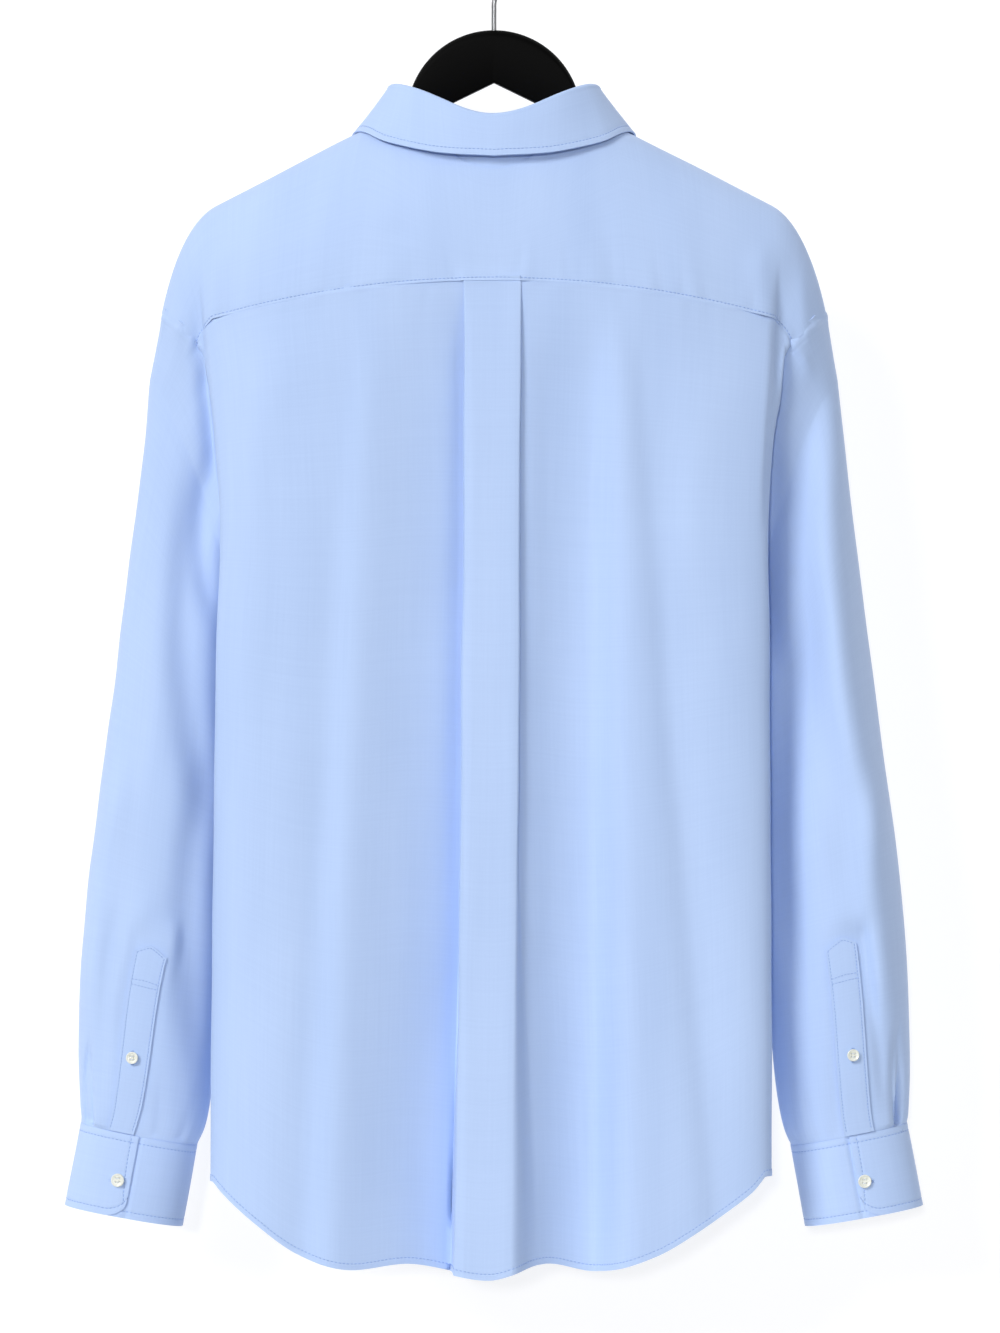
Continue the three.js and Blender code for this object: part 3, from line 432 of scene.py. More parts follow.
def turn_at(w, y):
    """The turn at which the shoulder's ellipse reaches y: the arc sine of y over its reach."""
    reach = np.where(y < 0, yoke_seam(w)[1], front_section(CHEST_Z, w / CAP_END)[1])
    return np.where(y < 0, -1, 1) * np.arcsin(np.clip(y / reach, 0, 1)) / (PI / 2)


def neck(angle, inset=0):
    """The neck seam's place on the shoulders: an oval, angle 0 at the middle of the back."""
    angle = np.asarray(angle, float)
    w = (NECK_X - inset) * np.sin(angle)
    y = NECK_MIDDLE - (NECK_Y - inset) * np.cos(angle)
    return w, turn_at(w, y)


def neck_point(angle, inset=0):
    """The point of the neck seam at an angle."""
    return shoulder(*neck(angle, inset))


# Surfaces of the pieces, each a grid of points in millimetres


def rows_near_edges(count, step, edge_steps, length, top=True):
    """Places 0 to 1 down a piece of a length: even rows, with closer ones near its seams."""
    close = np.asarray(edge_steps, float) / length
    places = np.sort(join(np.linspace(0, 1, count), close if top else [], 1 - close))
    return places[join([True], np.diff(places) > step / length)]


def close_at_sides(edge, close, middle, even):
    """Places -1 to 1 across a strip: a count of close ones beside each edge, even ones between."""
    side = np.linspace(edge, 1, close)
    return join(-side[::-1], np.linspace(-middle, middle, even), side)


def yoke_grid():
    """Each column runs from the neck or the front seam, over the ridge, to the seam behind."""
    neck_w, neck_turn = neck(NECK_SEAM_ANGLE * np.linspace(0, 1, 41))
    seam_w = fine([neck_w[-1], *SEAM_NODES], 6)[1:]
    start = join(np.linspace(0, 98, 41), fine([98, *YOKE_NODES], 6)[1:])
    w = join(neck_w, seam_w)
    turn = join(neck_turn, turn_at(seam_w, FRONT_SEAM_Y))
    start, w = (join(-a[:0:-1], a) for a in (start, w))
    turn = join(turn[:0:-1], turn)
    v = join(fine(YOKE_ROWS, 10)[:-1], [0.012, 0.008, 0.004, 0])[:, None]
    return shoulder(lerp(w, start, np.sqrt(1 - v)), lerp(-1, turn, v))


def back_section(z, w):
    """The back's plan at a height: flat across, round at the edge, then forward to the side
    seam by one quadratic bend."""
    z, w = np.broadcast_arrays(np.asarray(z, float), w)
    width = np.where(w < 0, curve(WIDTH_Z, WIDTH_LEFT, z), curve(WIDTH_Z, WIDTH_RIGHT, z))
    edge_x, edge_y = armhole_back(z)
    middle = BACK_Y - BACK_HOLLOW * smooth((YOKE_Z - z) / 700)
    t = np.linspace(0, PI / 2, 46)
    u = np.linspace(0, 1, 19)[1:]
    wide, ex, ey, my = (a[..., None] for a in (width, edge_x, edge_y, middle))
    line_x = join(wide * power(np.sin(t), 0.75), bend(wide, lerp(wide, ex, 0.88), ex, u), axis=-1)
    flat_y = lerp(my, EDGE_Y, 1 - power(np.cos(t), 0.7))
    line_y = join(flat_y, bend(EDGE_Y, lerp(EDGE_Y, ey, 0.4), ey, u), axis=-1)
    length = np.hypot(np.diff(line_x, axis=-1), np.diff(line_y, axis=-1)).sum(-1)
    a = abs(w)
    beyond = lerp(FLAT_BACK * width / SHOULDER, length, (a - FLAT_BACK) / (CAP_END - FLAT_BACK))
    x, y = along(line_x, line_y, np.where(a < FLAT_BACK, a * width / SHOULDER, beyond) / length)
    return np.sign(w) * x, y


def pleat_side(z, fold, side):
    """One side of the box pleat at fold point number fold: how far out and how deep. Near the
    yoke it is pressed, out round one turn and back round another; below it opens to a slope."""
    depth = curve(PLEAT_Z, PLEAT_DEPTH, z)
    r = np.minimum(depth / 4, FOLD_ROUND)
    overlap = np.maximum(curve(PLEAT_Z, PLEAT_OVERLAP, z), 2 * r + 1)
    opened = smooth((YOKE_Z - PRESSED - z) / OPENING)
    by_r = join([0], SINES - 1, [0], 1 - SINES, [-0.5, 0])[fold]
    by_overlap = join([0], 0 * SINES, [-0.5], 0 * SINES - 1, [0, 0])[fold]
    plain = join([-7], 0 * SINES, [0], 0 * SINES, [0, 6])[fold]
    deep_r = join([0], 1 - COSINES, [2], 3 - COSINES, [4, 4])[fold]
    t = (fold - 1) / (LAST_FOLD - 2)
    ramp = np.where(side < 0, 2.5 + opened, 9 + 10 * opened)
    start = np.where(side < 0, -2.5, -4)
    open_out = np.where(fold == 0, -9, np.where(fold == LAST_FOLD, ramp + 2, start + ramp * t))
    out = lerp(by_r * r + by_overlap * overlap + plain, open_out, opened)
    return out, lerp(deep_r * depth / 4, depth * smooth(t), opened)


def fold_depth(x, down):
    """The sum of the long folds at a place: bell sections, growing down from the yoke."""
    total = 0
    for top, hem, depth_top, depth_hem, left, right in FOLDS:
        middle = lerp(top, hem, down)
        depth = lerp(depth_top, depth_hem, down**FOLD_GROWTH)
        reach = np.where(x < middle, left, right)
        total = total + depth * smooth(down / 0.1) * bell(x, middle, reach)
    return total


def back_place(w, side, fold, z):
    """Place along the shoulder and lift of each column: the strip and sides of the pleat, or
    plain cloth beyond them."""
    depth = curve(PLEAT_Z, PLEAT_DEPTH, z)
    middle = curve(PLEAT_Z, PLEAT_MIDDLE, z)
    half = curve(PLEAT_Z, PLEAT_HALF, z)
    out, deep = pleat_side(z, fold, side)
    share = np.where((side > 0) | (w > 0), PLEAT_SHARE_RIGHT, PLEAT_SHARE_LEFT)
    plain = ~np.isnan(w)
    w = np.nan_to_num(w)
    beyond = abs(w) - PLEAT_END
    last_out, _ = pleat_side(z, LAST_FOLD, np.sign(w))
    last = half + last_out + np.sign(w) * middle
    spread = np.sign(w) * lerp(last, FLAT_END, beyond / (FLAT_END - PLEAT_END))
    on_plain = np.where(abs(w) >= FLAT_END, w, spread)
    place = np.where(plain, on_plain, middle + side * (half + out))
    reach = np.where(w < 0, PLEAT_REACH_LEFT, PLEAT_REACH_RIGHT)
    plain_lift = (share - 0.5) * depth * np.exp(-((beyond / reach) ** 2))
    lift = np.where(plain, plain_lift, deep * share - depth / 2)
    strip = ~plain & (side == 0)
    return np.where(strip, middle + fold, place), np.where(strip, -depth / 2, lift)


def back_columns():
    """Columns from the left side seam to the right one: plain ones hold their place w, those
    of the pleat their side and fold point, and those on the strip (side 0) their offset."""
    outer = join(lerp(PLEAT_END, FLAT_END, np.arange(1, 46) / 45), [FLAT_END + 2])
    outer = join(outer, fine(BACK_NODES, 4)[1:])
    folds = np.arange(LAST_FOLD + 1)
    strip = np.linspace(-10, 10, 7)
    blank, zero = np.full(len(folds), np.nan), 0 * folds
    w = join(-outer[::-1], blank, strip * np.nan, blank, outer)
    side = join(0 * outer, zero - 1, 0 * strip, zero + 1, 0 * outer)
    fold = join(0 * outer, folds[::-1], 0 * strip, folds, 0 * outer).astype(int)
    return w, side, fold, join(0 * outer, zero, strip, zero, 0 * outer)


def back_grid():
    """Columns down from the yoke seam to the hem: the plan of each height, lifted by the pleat
    and the long folds, which end before the armholes and the side seams."""
    w, side, fold, offset = back_columns()

    def place(z):
        at, lift = back_place(w, side, fold, z)
        return at + offset, lift

    close = [0.8, 1.6, 2.4, 3.2, 4, 4.8, 5.6, 7, 9]
    v = rows_near_edges(110, 0.6, close, BACK_LENGTH)[:, None]
    start, _ = place(np.full((1, len(w)), float(YOKE_Z)))
    seam_x, seam_y, seam_z = yoke_seam(start)
    foot, _ = place(np.full((1, len(w)), float(HEM_MIDDLE_Z)))
    side_hem = curve(HEM_X, HEM_Z, 210 * np.sign(foot))
    round_side = (abs(foot) - 215) / (CAP_END - 215)
    beside_hem = lerp(side_hem, SIDE_HEM_Z, round_side)
    hem = np.where(round_side > 0, beside_hem, curve(HEM_X, HEM_Z, foot))
    top = seam_z - GAP
    z = lerp(top, hem, v)
    here, lift = place(z)
    x, y = back_section(z, here)
    above_x, above_y = back_section(top, start)
    fix = (1 - v) ** 3
    in_fold = np.where(np.isnan(w), smooth(fold * abs(side) / (TURNS + 4)), 1)
    behind = smooth((20 - y) / 50)
    flush = lerp(0.4, 1, smooth(v * BACK_LENGTH / 30))
    plain = xyz(x, y, z)
    beside = np.minimum(from_edge(plain, "left"), from_edge(plain, "right"))
    folds = fold_depth(x, v) * in_fold * behind * smooth((beside - 2) / 24)
    y = y + (seam_y - above_y) * fix + lift * flush + folds
    return xyz(x + (seam_x - above_x) * fix, y, z)


def front_columns(overlap):
    """Where the front's columns start on the neck or shoulder seam, and their chest place."""
    ring = np.linspace(0, 1, 31)
    angles = join([PI + math.asin(overlap / NECK_X)], lerp(PI, NECK_SEAM_ANGLE + 0.012, ring))
    top_w, top_turn = neck(angles)
    seam_w = fine([top_w[-1], *SEAM_NODES], 5)[1:]
    chest = join([-overlap * 1.15], 78 * ring, lerp(78, CAP_END, (seam_w - 65) / (CAP_END - 65)))
    near = np.interp(join([0], ring, np.ones(len(seam_w))), [2 / 6, 3 / 6, 4 / 6], [1, 0.4, 0])
    turn = join(top_turn, turn_at(seam_w, FRONT_SEAM_Y + GAP * 1.3))
    return join(top_w, seam_w), turn, chest, near


def front_surface(w, turn, chest, v):
    """From the neck or seam down the shoulder to the chest, then down the front's sections."""
    t = np.clip(v / CHEST_ROW, 0, 1)
    upper = shoulder(lerp(w, chest, t), lerp(turn, 1, t))
    hem_x, _ = front_section(-900, chest / CAP_END)
    hem = curve(FRONT_HEM_X, FRONT_HEM_Z, abs(hem_x))
    z = lerp(CHEST_Z, hem, np.clip((v - CHEST_ROW) / (1 - CHEST_ROW), 0, 1))
    x, y = front_section(z, chest / CAP_END)
    lower = xyz(x, y + 1.1 * smooth((chest - 250) / 40), z)
    return np.where((v <= CHEST_ROW)[..., None], upper, lower)


def front_rows():
    """Rows down to the chest, then down to the hem."""
    lower = rows_near_edges(70, 0.7, [1, 2, 3, 4, 5, 6, 8], 620, top=False)
    return join(np.linspace(0, CHEST_ROW, 25), lerp(CHEST_ROW, 1, lower)[1:])[:, None]


def front_grid(side):
    """One front. The right one lies a layer deeper where the left one laps over it."""
    w, turn, chest, near = front_columns(PLACKET_HALF if side < 0 else PLACKET_HALF - 2)
    grid = front_surface(w, turn, chest, front_rows()) * [side, 1, 1]
    if side < 0:
        return grid
    return raised(grid[:, ::-1], -LAYER * near[::-1] * np.ones(grid.shape[:2]))


def placket_grid():
    """A strip down the middle of the front, one layer above it."""
    x = close_at_sides(0.6, 7, 0.5, 9)[::-1] * PLACKET_HALF
    w, turn = neck(PI - np.arcsin(abs(x) / NECK_X))
    grid = front_surface(w, turn, abs(x) * 1.15, front_rows())
    grid[..., 0] *= np.sign(x)
    return raised(grid, LAYER * np.ones(grid.shape[:2]))


# Sleeves: angle 0 is the outside, a quarter turn is behind


def oval(ring, angle, side, grow=0):
    """A squared oval ring between an outer and an inner point."""
    c, s = np.cos(angle), np.sin(angle)
    across = np.sign(c) * power(abs(c), 0.88)
    deep = np.sign(s) * power(abs(s), 0.88)
    wide_x, wide_z = ring["out_x"] - ring["in_x"], ring["out_z"] - ring["in_z"]
    stretch = 1 + grow / (np.hypot(wide_x, wide_z) / 2)
    return xyz(
        side * ((ring["out_x"] + ring["in_x"]) / 2 + across * stretch * wide_x / 2),
        ring["y"] - deep * (ring["half"] + grow),
        (ring["out_z"] + ring["in_z"]) / 2 + across * stretch * wide_z / 2,
    )


def sleeve_ring(place):
    """The table's ring at a place between 0 and 9, by smooth curves."""
    return {key: curve(range(10), values, place) for key, values in SLEEVE.items()}


def armhole():
    """The armhole from the shoulder tip down the back and up the front: angles and points."""
    seam_turn = turn_at(CAP_END, FRONT_SEAM_Y)

    def section(place, start, end, count):
        z = np.linspace(start, end, count)[1:]
        return xyz(*place(z), z)

    def over_yoke(shares):
        return shoulder(CAP_END, lerp(-1, seam_turn, shares))

    behind = join(
        over_yoke(np.linspace(YOKE_ROWS[3], 0, 25)), section(armhole_back, YOKE_END_Z, UNDERARM_Z, 61)
    )
    front = join(
        section(armhole_front, UNDERARM_Z, CHEST_Z, 26),
        shoulder(CAP_END, np.linspace(1, seam_turn, 13)[1:]),
        over_yoke(np.linspace(1, YOKE_ROWS[3], 6)[1:-1]),
    )
    behind_run = run_down(behind)
    front_run = run_down(join(behind[-1:], front, behind[:1]))
    angles = join(PI * behind_run / behind_run[-1], PI + PI * front_run[1:-1] / front_run[-1])
    return angles, join(behind, front)


def pleat_groove(angle, place):
    """The pleat at the cuff: a groove on the outer side with a soft ridge beside it."""
    strength = smooth((place - 6.2) / 2.4) * (1 - 0.8 * smooth((place - 8.75) / 0.25))
    return strength * (2.6 * bell(angle, 0.9, 0.2) - 7.5 * bell(angle, 0.62, 0.11))


def sleeve_surface(place, angle, side, out=0):
    """The sleeve's oval at a place down its table of rings, grown by out and the cuff's pleat."""
    ring = sleeve_ring(np.asarray(place, float))
    return oval(ring, angle, side, out + pleat_groove(angle, place))


def sleeve_grid(side):
    """From the armhole through the table's rings to the cuff, freed from the armhole's own
    outline on the way. Columns run outside, behind, inside, front."""
    angle, edge = armhole()
    edge = edge * [side, 1, 1]
    centre_x = side * (TIP_X + UNDERARM_X) / 2
    centre_z = (TIP_Z + UNDERARM_Z) / 2
    place = join(np.linspace(0, 8.2, 84), np.linspace(8.25, 9, 14))[:, None]
    ring = sleeve_ring(place)
    shift_x = side * (ring["out_x"] + ring["in_x"]) / 2 - centre_x
    shift_z = (ring["out_z"] + ring["in_z"]) / 2 - centre_z
    freed = sleeve_surface(place, angle, side)
    rings = lerp(edge + xyz(shift_x, 0, shift_z), freed, ring["free"][..., None])
    rings[-1, :, 2] += GAP
    lap = smooth((angle - 0.95) / 0.5) * smooth((PI + 0.35 - angle) / 0.5)
    first = edge + unit(rings[0] - edge) * (0.9 + 3 * lap)[:, None]
    first[:, 0] += side * 1.1 * lap
    t = join(np.linspace(0, 0.08, 5), np.linspace(0.1, 0.96, 26))
    grid = join(lerp(first, rings[0], t[:, None, None]), rings)
    return grid if side < 0 else grid[:, ::-1]


def cuff_surface(angle, v, side, out=0):
    """Straight from the cuff's top oval (v 0) to its foot oval (1)."""
    return lerp(oval(CUFF_TOP, angle, side, out), oval(CUFF_FOOT, angle, side, out), v)


def cuff_grid(side):
    """A band whose outer end lies over its inner end, its lower outer corner rounded."""
    angle = join(
        np.linspace(CUFF_BEGIN, CUFF_BEGIN + 0.8, 40),
        np.linspace(CUFF_BEGIN + 0.84, CUFF_END - 0.3, 86),
        CUFF_END - 0.29 * (1 - np.linspace(0, 1, 19)),
    )
    under = 1 - smooth((angle - CUFF_BEGIN) / (CUFF_OVERLAP + 0.45))
    from_end = (CUFF_END - angle) * CUFF_RADIUS
    r = CUFF_CORNER
    corner = np.where(from_end < r, r - np.sqrt(np.maximum(r * r - (r - from_end) ** 2, 0)), 0)
    beside = (angle - CUFF_BEGIN - CUFF_OVERLAP) * CUFF_RADIUS
    drop = -(CUFF_WALL + GAP) * under - 1.0 * bell(beside, 1.4, 1.4)
    v = rows_near_edges(15, 0.5, CLOSE_ROWS, 60)[:, None]
    down = cuff_surface(angle, 1, side, drop) - cuff_surface(angle, 0, side, drop)
    share = v * (1 - corner * v / np.linalg.norm(down, axis=-1))
    grid = cuff_surface(angle, share[..., None], side, drop)
    return grid if side < 0 else grid[:, ::-1]


def gauntlet_centre(v, side):
    """The sleeve placket's middle line: its place down the sleeve, its angle, and the sleeve's
    radius there."""
    row = GAUNTLET[side]
    place = lerp(GAUNTLET_FOOT - row["up"], GAUNTLET_FOOT, v)
    ring = sleeve_ring(place)
    at = PI / 2 + lerp(row["tip"], row["foot"], np.asarray(v, float) ** 0.7)
    return place, at, (ring["out_x"] - ring["in_x"]) / 2


def gauntlet_grid(side):
    """A strip up the back of the sleeve whose upper end comes to a point."""
    v = rows_near_edges(60, 0.7, CLOSE_ROWS[:4] + [4.2], 130)[:, None]
    across = close_at_sides(0.7, 5, 0.55, 8)
    place, angle, radius = gauntlet_centre(v, side)
    grid = sleeve_surface(place, angle + across * GAUNTLET_HALF / radius, side, GAUNTLET_OUT)
    grid[..., 2] += (1 - abs(across)) * GAUNTLET_POINT * np.clip(1 - v / 0.12, 0, 1)
    return grid if side < 0 else grid[:, ::-1]


# Collar: angles run from the middle of the back round the neck


def collar_fold(angle):
    """The fold's crest: an oval above the neck seam, highest behind."""
    rise = 27 + 6.5 * np.cos(angle) + 6 * np.cos(2 * angle)
    z = neck_point(angle)[..., 2] + rise
    return xyz(NECK_X * np.sin(angle), NECK_MIDDLE - FOLD_Y * np.cos(angle), z)


def stand_surface(angle, v):
    """The stand from its foot (v 0) to its top (1), its right end under the left one."""
    foot = neck_point(angle, 2)
    foot[..., 2] = neck_point(angle)[..., 2] + 0.7
    top = collar_fold(angle)
    top[..., 2] -= FOLD_DROP
    under = (STAND_WALL + GAP) * smooth((angle - PI + 0.5) / 0.3)
    p = lerp(foot, top, np.asarray(v)[..., None])
    return p + xyz(-under * np.sin(angle), under * np.cos(angle), 0)


def stand_grid():
    """The stand's rows from its top, its columns with a lap at both ends."""
    lap = np.array([PI, PI + STAND_LAP / 2, PI + STAND_LAP])
    angle = join(-lap[::-1], np.linspace(-LEAF_END, LEAF_END, 121), lap)
    return stand_surface(angle, np.linspace(1, 0, 12)[:, None] * np.ones(len(angle)))


def leaf_grid():
    """Up inside the stand's top, half round the fold, then straight down to the leaf's edge,
    its lower part behind drawn in to the yoke."""
    angle = np.linspace(-LEAF_END, LEAF_END, 181)
    fold = FOLD_RADIUS
    turn = np.linspace(PI, 0, 9)
    out = join([0], fold + fold * np.cos(turn))[:, None]
    up = join([-FOLD_DROP + 2 * GAP], -fold + fold * np.sin(turn))[:, None]
    crest = collar_fold(angle)
    inner = crest + xyz(out * np.sin(angle), -out * np.cos(angle), up)
    start = crest + xyz(2 * fold * np.sin(angle), -2 * fold * np.cos(angle), -fold)
    degrees = np.degrees(abs(angle))
    edge_x, edge_y, edge_z = (curve(LEAF_ANGLE, row, degrees) for row in (LEAF_X, LEAF_Y, LEAF_Z))
    edge = xyz(np.sign(angle) * edge_x, edge_y, edge_z)
    v = rows_near_edges(24, 0.6, CLOSE_ROWS, 60, top=False)[1:]
    flap = lerp(start, edge, v[:, None, None])
    flap[..., 1] += LEAF_TUCK * smooth(v[:, None]) * smooth((90 - degrees) / 42)
    return join(inner, flap)


# Relief: hems, seams, puckers and creases as heights on a grid


def turned(a, edge, back=False):
    """The grid with the named edge as its first row, or the reverse of that turn."""
    if edge == "foot":
        return a[::-1]
    if edge == "left":
        return a.swapaxes(0, 1)
    if edge == "right":
        return a.swapaxes(0, 1)[:, ::-1] if back else a[:, ::-1].swapaxes(0, 1)
    return a


def from_edge(grid, edge):
    """Each point's distance from an edge, added up along the grid."""
    return turned(run_down(turned(grid, edge)), edge, back=True)


def line_at(grid, edge, distance, closed=False):
    """Points and normals of the line at a distance from an edge."""
    g = turned(grid, edge)
    n = turned(normals(grid, closed), edge)
    run = run_down(g)
    i = np.clip((run < distance).sum(0) - 1, 0, len(g) - 2)
    j = np.arange(g.shape[1])
    t = ((distance - run[i, j]) / np.maximum(run[i + 1, j] - run[i, j], 1e-6))[:, None]
    return lerp(g[i, j], g[i + 1, j], t), lerp(n[i, j], n[i + 1, j], t)


def tucked(grid, edge, reach, sink, closed=False):
    """The grid with three more rows past an edge, sunk under the next piece."""
    g = turned(grid, edge)
    n = turned(normals(grid, closed), edge)[0]
    way = unit(g[0] - g[1])
    rows = [g[0] + way * reach * t - n * sink * smooth(1.4 * t) for t in (1, 0.6, 0.25)]
    return turned(join(rows, g), edge, back=True)


def hem_relief(grid):
    """Cloth folded up at the foot: a step out, with a groove under its line of stitches."""
    d = from_edge(grid, "foot")
    return 0.4 * (1 - smooth((d - HEM_STITCH + 0.2) / 1.4)) - 0.3 * bell(d, HEM_STITCH, 0.8)


def groove(grid, edge, distance, depth=0.3):
    """A bell-shaped groove along an edge, where a row of stitches draws the cloth in."""
    return -depth * bell(from_edge(grid, edge), distance, 0.8)


def puckers(grid, edge, seed, count, depth, reach, width):
    """Short uneven ripples across a seam: bells along it that fade out over a reach."""
    rng = np.random.default_rng(seed)
    d = from_edge(grid, edge)
    g = turned(grid, edge)
    run = run_down(g[0])
    s = turned(np.broadcast_to(run, g.shape[:2]), edge, back=True)
    total = 0
    for k in range(count):
        middle = (k + rng.uniform(0.15, 0.85)) / count * run[-1]
        lean = rng.uniform(-0.25, 0.25)
        height = depth * rng.uniform(0.35, 1) * rng.choice([-1, 1], p=[0.65, 0.35])
        far = reach * rng.uniform(0.5, 1.2)
        ripple = height * bell(s + lean * d, middle, width * rng.uniform(0.6, 1.3))
        total = total + ripple * np.exp(-d / far)
    return total


def creases(grid, rows, face=-1, closed=False):
    """Soft troughs and ridges between two points seen from behind (face -1) or in front (1).
    Each is a bell across its line, which bows by a twentieth of its length, and fades at both
    ends."""
    n = normals(grid, closed)
    weight = smooth(face * n[..., 1] / 0.35 + 0.1)
    x, z = grid[..., 0], grid[..., 2]
    total = np.zeros(x.shape)
    for x1, z1, x2, z2, height, width in rows:
        dx, dz = x2 - x1, z2 - z1
        length = math.hypot(dx, dz)
        t = ((x - x1) * dx + (z - z1) * dz) / length**2
        away = ((x - x1) * dz - (z - z1) * dx) / length
        bow = 0.05 * length * np.sin(PI * np.clip(t, 0, 1))
        fade = smooth((t + 0.1) / 0.35) * smooth((1.1 - t) / 0.35)
        total += height * bell(away, bow, width) * fade
    return total * weight


def sunk(grid):
    """The grid with the valleys of both shoulders, which run on from one piece to the next."""
    x, y, z = np.moveaxis(grid, -1, 0)
    total = 0
    for x1, z1, x2, z2, height, left, right in VALLEYS:
        t = (z - z1) / (z2 - z1)
        away = x - lerp(x1, x2, t)
        fade = smooth((t + 0.05) / 0.4) * smooth((1.15 - t) / 0.4)
        total = total + height * bell(away, 0, np.where(away < 0, left, right)) * fade
    return xyz(x, y - total * smooth((-5 - y) / 15), z)


def rumple(grid, seed, height, size):
    """A faint unevenness: a sum of long waves of random direction and phase."""
    rng = np.random.default_rng(seed)
    total = 0
    for _ in range(9):
        way = rng.normal(size=3) * [1, 1, 0.45]
        way = unit(way) * 2 * PI / (size * rng.uniform(0.6, 1.7))
        total = total + np.sin(grid @ way + rng.uniform(0, 2 * PI))
    return total * height / 3


# Materials


def linear(code):
    """An sRGB hex colour as linear red, green, blue, alpha."""
    c = np.array([int(code[i : i + 2], 16) for i in (1, 3, 5)]) / 255
    c = np.where(c <= 0.04045, c / 12.92, ((c + 0.055) / 1.055) ** 2.4)
    return (*c.tolist(), 1.0)


def add_node(material, kind, settings=None, links=None):
    """Adds a node; settings go to its inputs or attributes, links join sockets to inputs."""
    tree = material.node_tree
    made = tree.nodes.new(kind)
    for key, value in (settings or {}).items():
        if isinstance(key, int) or key in made.inputs:
            made.inputs[key].default_value = value
        else:
            setattr(made, key, value)
    for key, socket in (links or {}).items():
        tree.links.new(socket, made.inputs[key])
    return made


def new_material(name, settings):
    """A material and its shader, with the shader's inputs set."""
    material = bpy.data.materials.new(name)
    material.use_nodes = True
    shader = material.node_tree.nodes["Principled BSDF"]
    for key, value in settings.items():
        shader.inputs[key].default_value = value
    return material, shader


def noise_in_place(material, scale, detail):
    """Noise on the object's own coordinates."""
    place = add_node(material, "ShaderNodeTexCoord")
    links = {"Vector": place.outputs["Object"]}
    return add_node(material, "ShaderNodeTexNoise", {"Scale": scale, "Detail": detail}, links).outputs[0]


def noise_on_cloth(material, across, down, detail):
    """Noise on the piece's own map, its grains so long across and down, in metres."""
    uv = add_node(material, "ShaderNodeUVMap", {"uv_map": "cloth"})
    scale = {"Scale": (1 / across, 1 / down, 1)}
    placed = add_node(material, "ShaderNodeMapping", scale, {"Vector": uv.outputs["UV"]})
    links = {"Vector": placed.outputs["Vector"]}
    return add_node(material, "ShaderNodeTexNoise", {"Scale": 1.0, "Detail": detail}, links).outputs[0]


def tint(material, shader, share, low, high):
    """The shader's colour between two hex colours, by a share."""
    colours = {"data_type": "RGBA", 6: linear(low), 7: linear(high)}
    mixed = add_node(material, "ShaderNodeMix", colours, {0: share})
    material.node_tree.links.new(mixed.outputs[2], shader.inputs["Base Color"])


def roughen(material, shader, height, strength, distance):
    """Bump on the shader, of a distance in metres."""
    settings = {"Strength": strength, "Distance": distance}
    bump = add_node(material, "ShaderNodeBump", settings, {"Height": height})
    material.node_tree.links.new(bump.outputs["Normal"], shader.inputs["Normal"])


def cotton_poplin():
    """Plain woven cotton: matt, with faint slubs along the threads and a short soft sheen. The
    threads lie 0.2 mm apart, too fine to show, so slubs stand for them at 1.5 mm."""
    looks = {"Roughness": 0.82, "Specular IOR Level": 0.25, "Sheen Weight": 0.12, "Sheen Roughness": 0.5}
    material, shader = new_material("cotton poplin, woven", looks)
    slub, slub_long = 0.0015, 0.09
    warp = noise_on_cloth(material, slub, slub_long, 2.0)
    weft = noise_on_cloth(material, slub_long, slub, 2.0)
    wide = noise_on_cloth(material, 0.06, 0.35, 2.0)
    both = add_node(material, "ShaderNodeMath", {"operation": "ADD"}, {0: warp, 1: weft}).outputs[0]
    added = {"operation": "MULTIPLY_ADD", 1: 0.35}
    spread = add_node(material, "ShaderNodeMath", added, {0: both, 2: wide}).outputs[0]
    limits = {1: 0.55, 2: 1.15, 3: 0.0, 4: 1.0}
    ramp = add_node(material, "ShaderNodeMapRange", limits, {0: spread}).outputs[0]
    tint(material, shader, ramp, "#aec5ec", "#b9cff4")
    roughen(material, shader, both, 0.25, 0.0001)
    return material


def sewing_thread():
    """Spun polyester thread in the cloth's blue, a little shinier than the cloth. Its blue is darker
    than the cloth's: painted shade, standing in for the small shadows along each row of stitches.
    """
    return new_material("sewing thread, spun", {"Base Color": linear("#93b0e4"), "Roughness": 0.6})[0]


def button_thread():
    """Spun polyester thread, nearly white."""
    return new_material("button thread, spun", {"Base Color": linear("#dde3ee"), "Roughness": 0.6})[0]


def button_resin():
    """Cast and tumbled polyester resin: off-white, softly polished, clouded like shell."""
    material, shader = new_material("polyester resin, tumbled", {"Roughness": 0.3, "Coat Weight": 0.3})
    tint(material, shader, noise_in_place(material, 350.0, 2.0), "#d9dccf", "#eff0e8")
    return material


def hanger_plastic():
    """Injection moulded polystyrene: black, satin from a finely spark-eroded mould."""
    looks = {"Base Color": linear("#020202"), "Roughness": 0.6, "Specular IOR Level": 0.06}
    material, shader = new_material("polystyrene, moulded satin", looks)
    roughen(material, shader, noise_in_place(material, 1400.0, 1.0), 0.15, 0.00005)
    return material


def hook_wire():
    """Zinc plated steel wire: grey, drawn through a die, which leaves fine lines along it."""
    looks = {"Base Color": linear("#8e8f91"), "Metallic": 1.0, "Roughness": 0.32}
    material, shader = new_material("steel wire, drawn and plated", looks)
    roughen(material, shader, noise_on_cloth(material, 0.0004, 0.02, 1.0), 0.3, 0.00003)
    return material


# Meshes


def place_mesh(name, points, faces, material):
    """A mesh in metres whose object rides on the one body."""
    name = name.replace(" ", "_")
    mesh = bpy.data.meshes.new(name)
    mesh.from_pydata((np.asarray(points).reshape(-1, 3) * MM).tolist(), [], faces)
    mesh.materials.append(material)
    mesh.polygons.foreach_set("use_smooth", np.ones(len(mesh.polygons), bool))
    piece = bpy.data.objects.new(name, mesh)
    bpy.context.scene.collection.objects.link(piece)
    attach(piece, "root")
    return piece


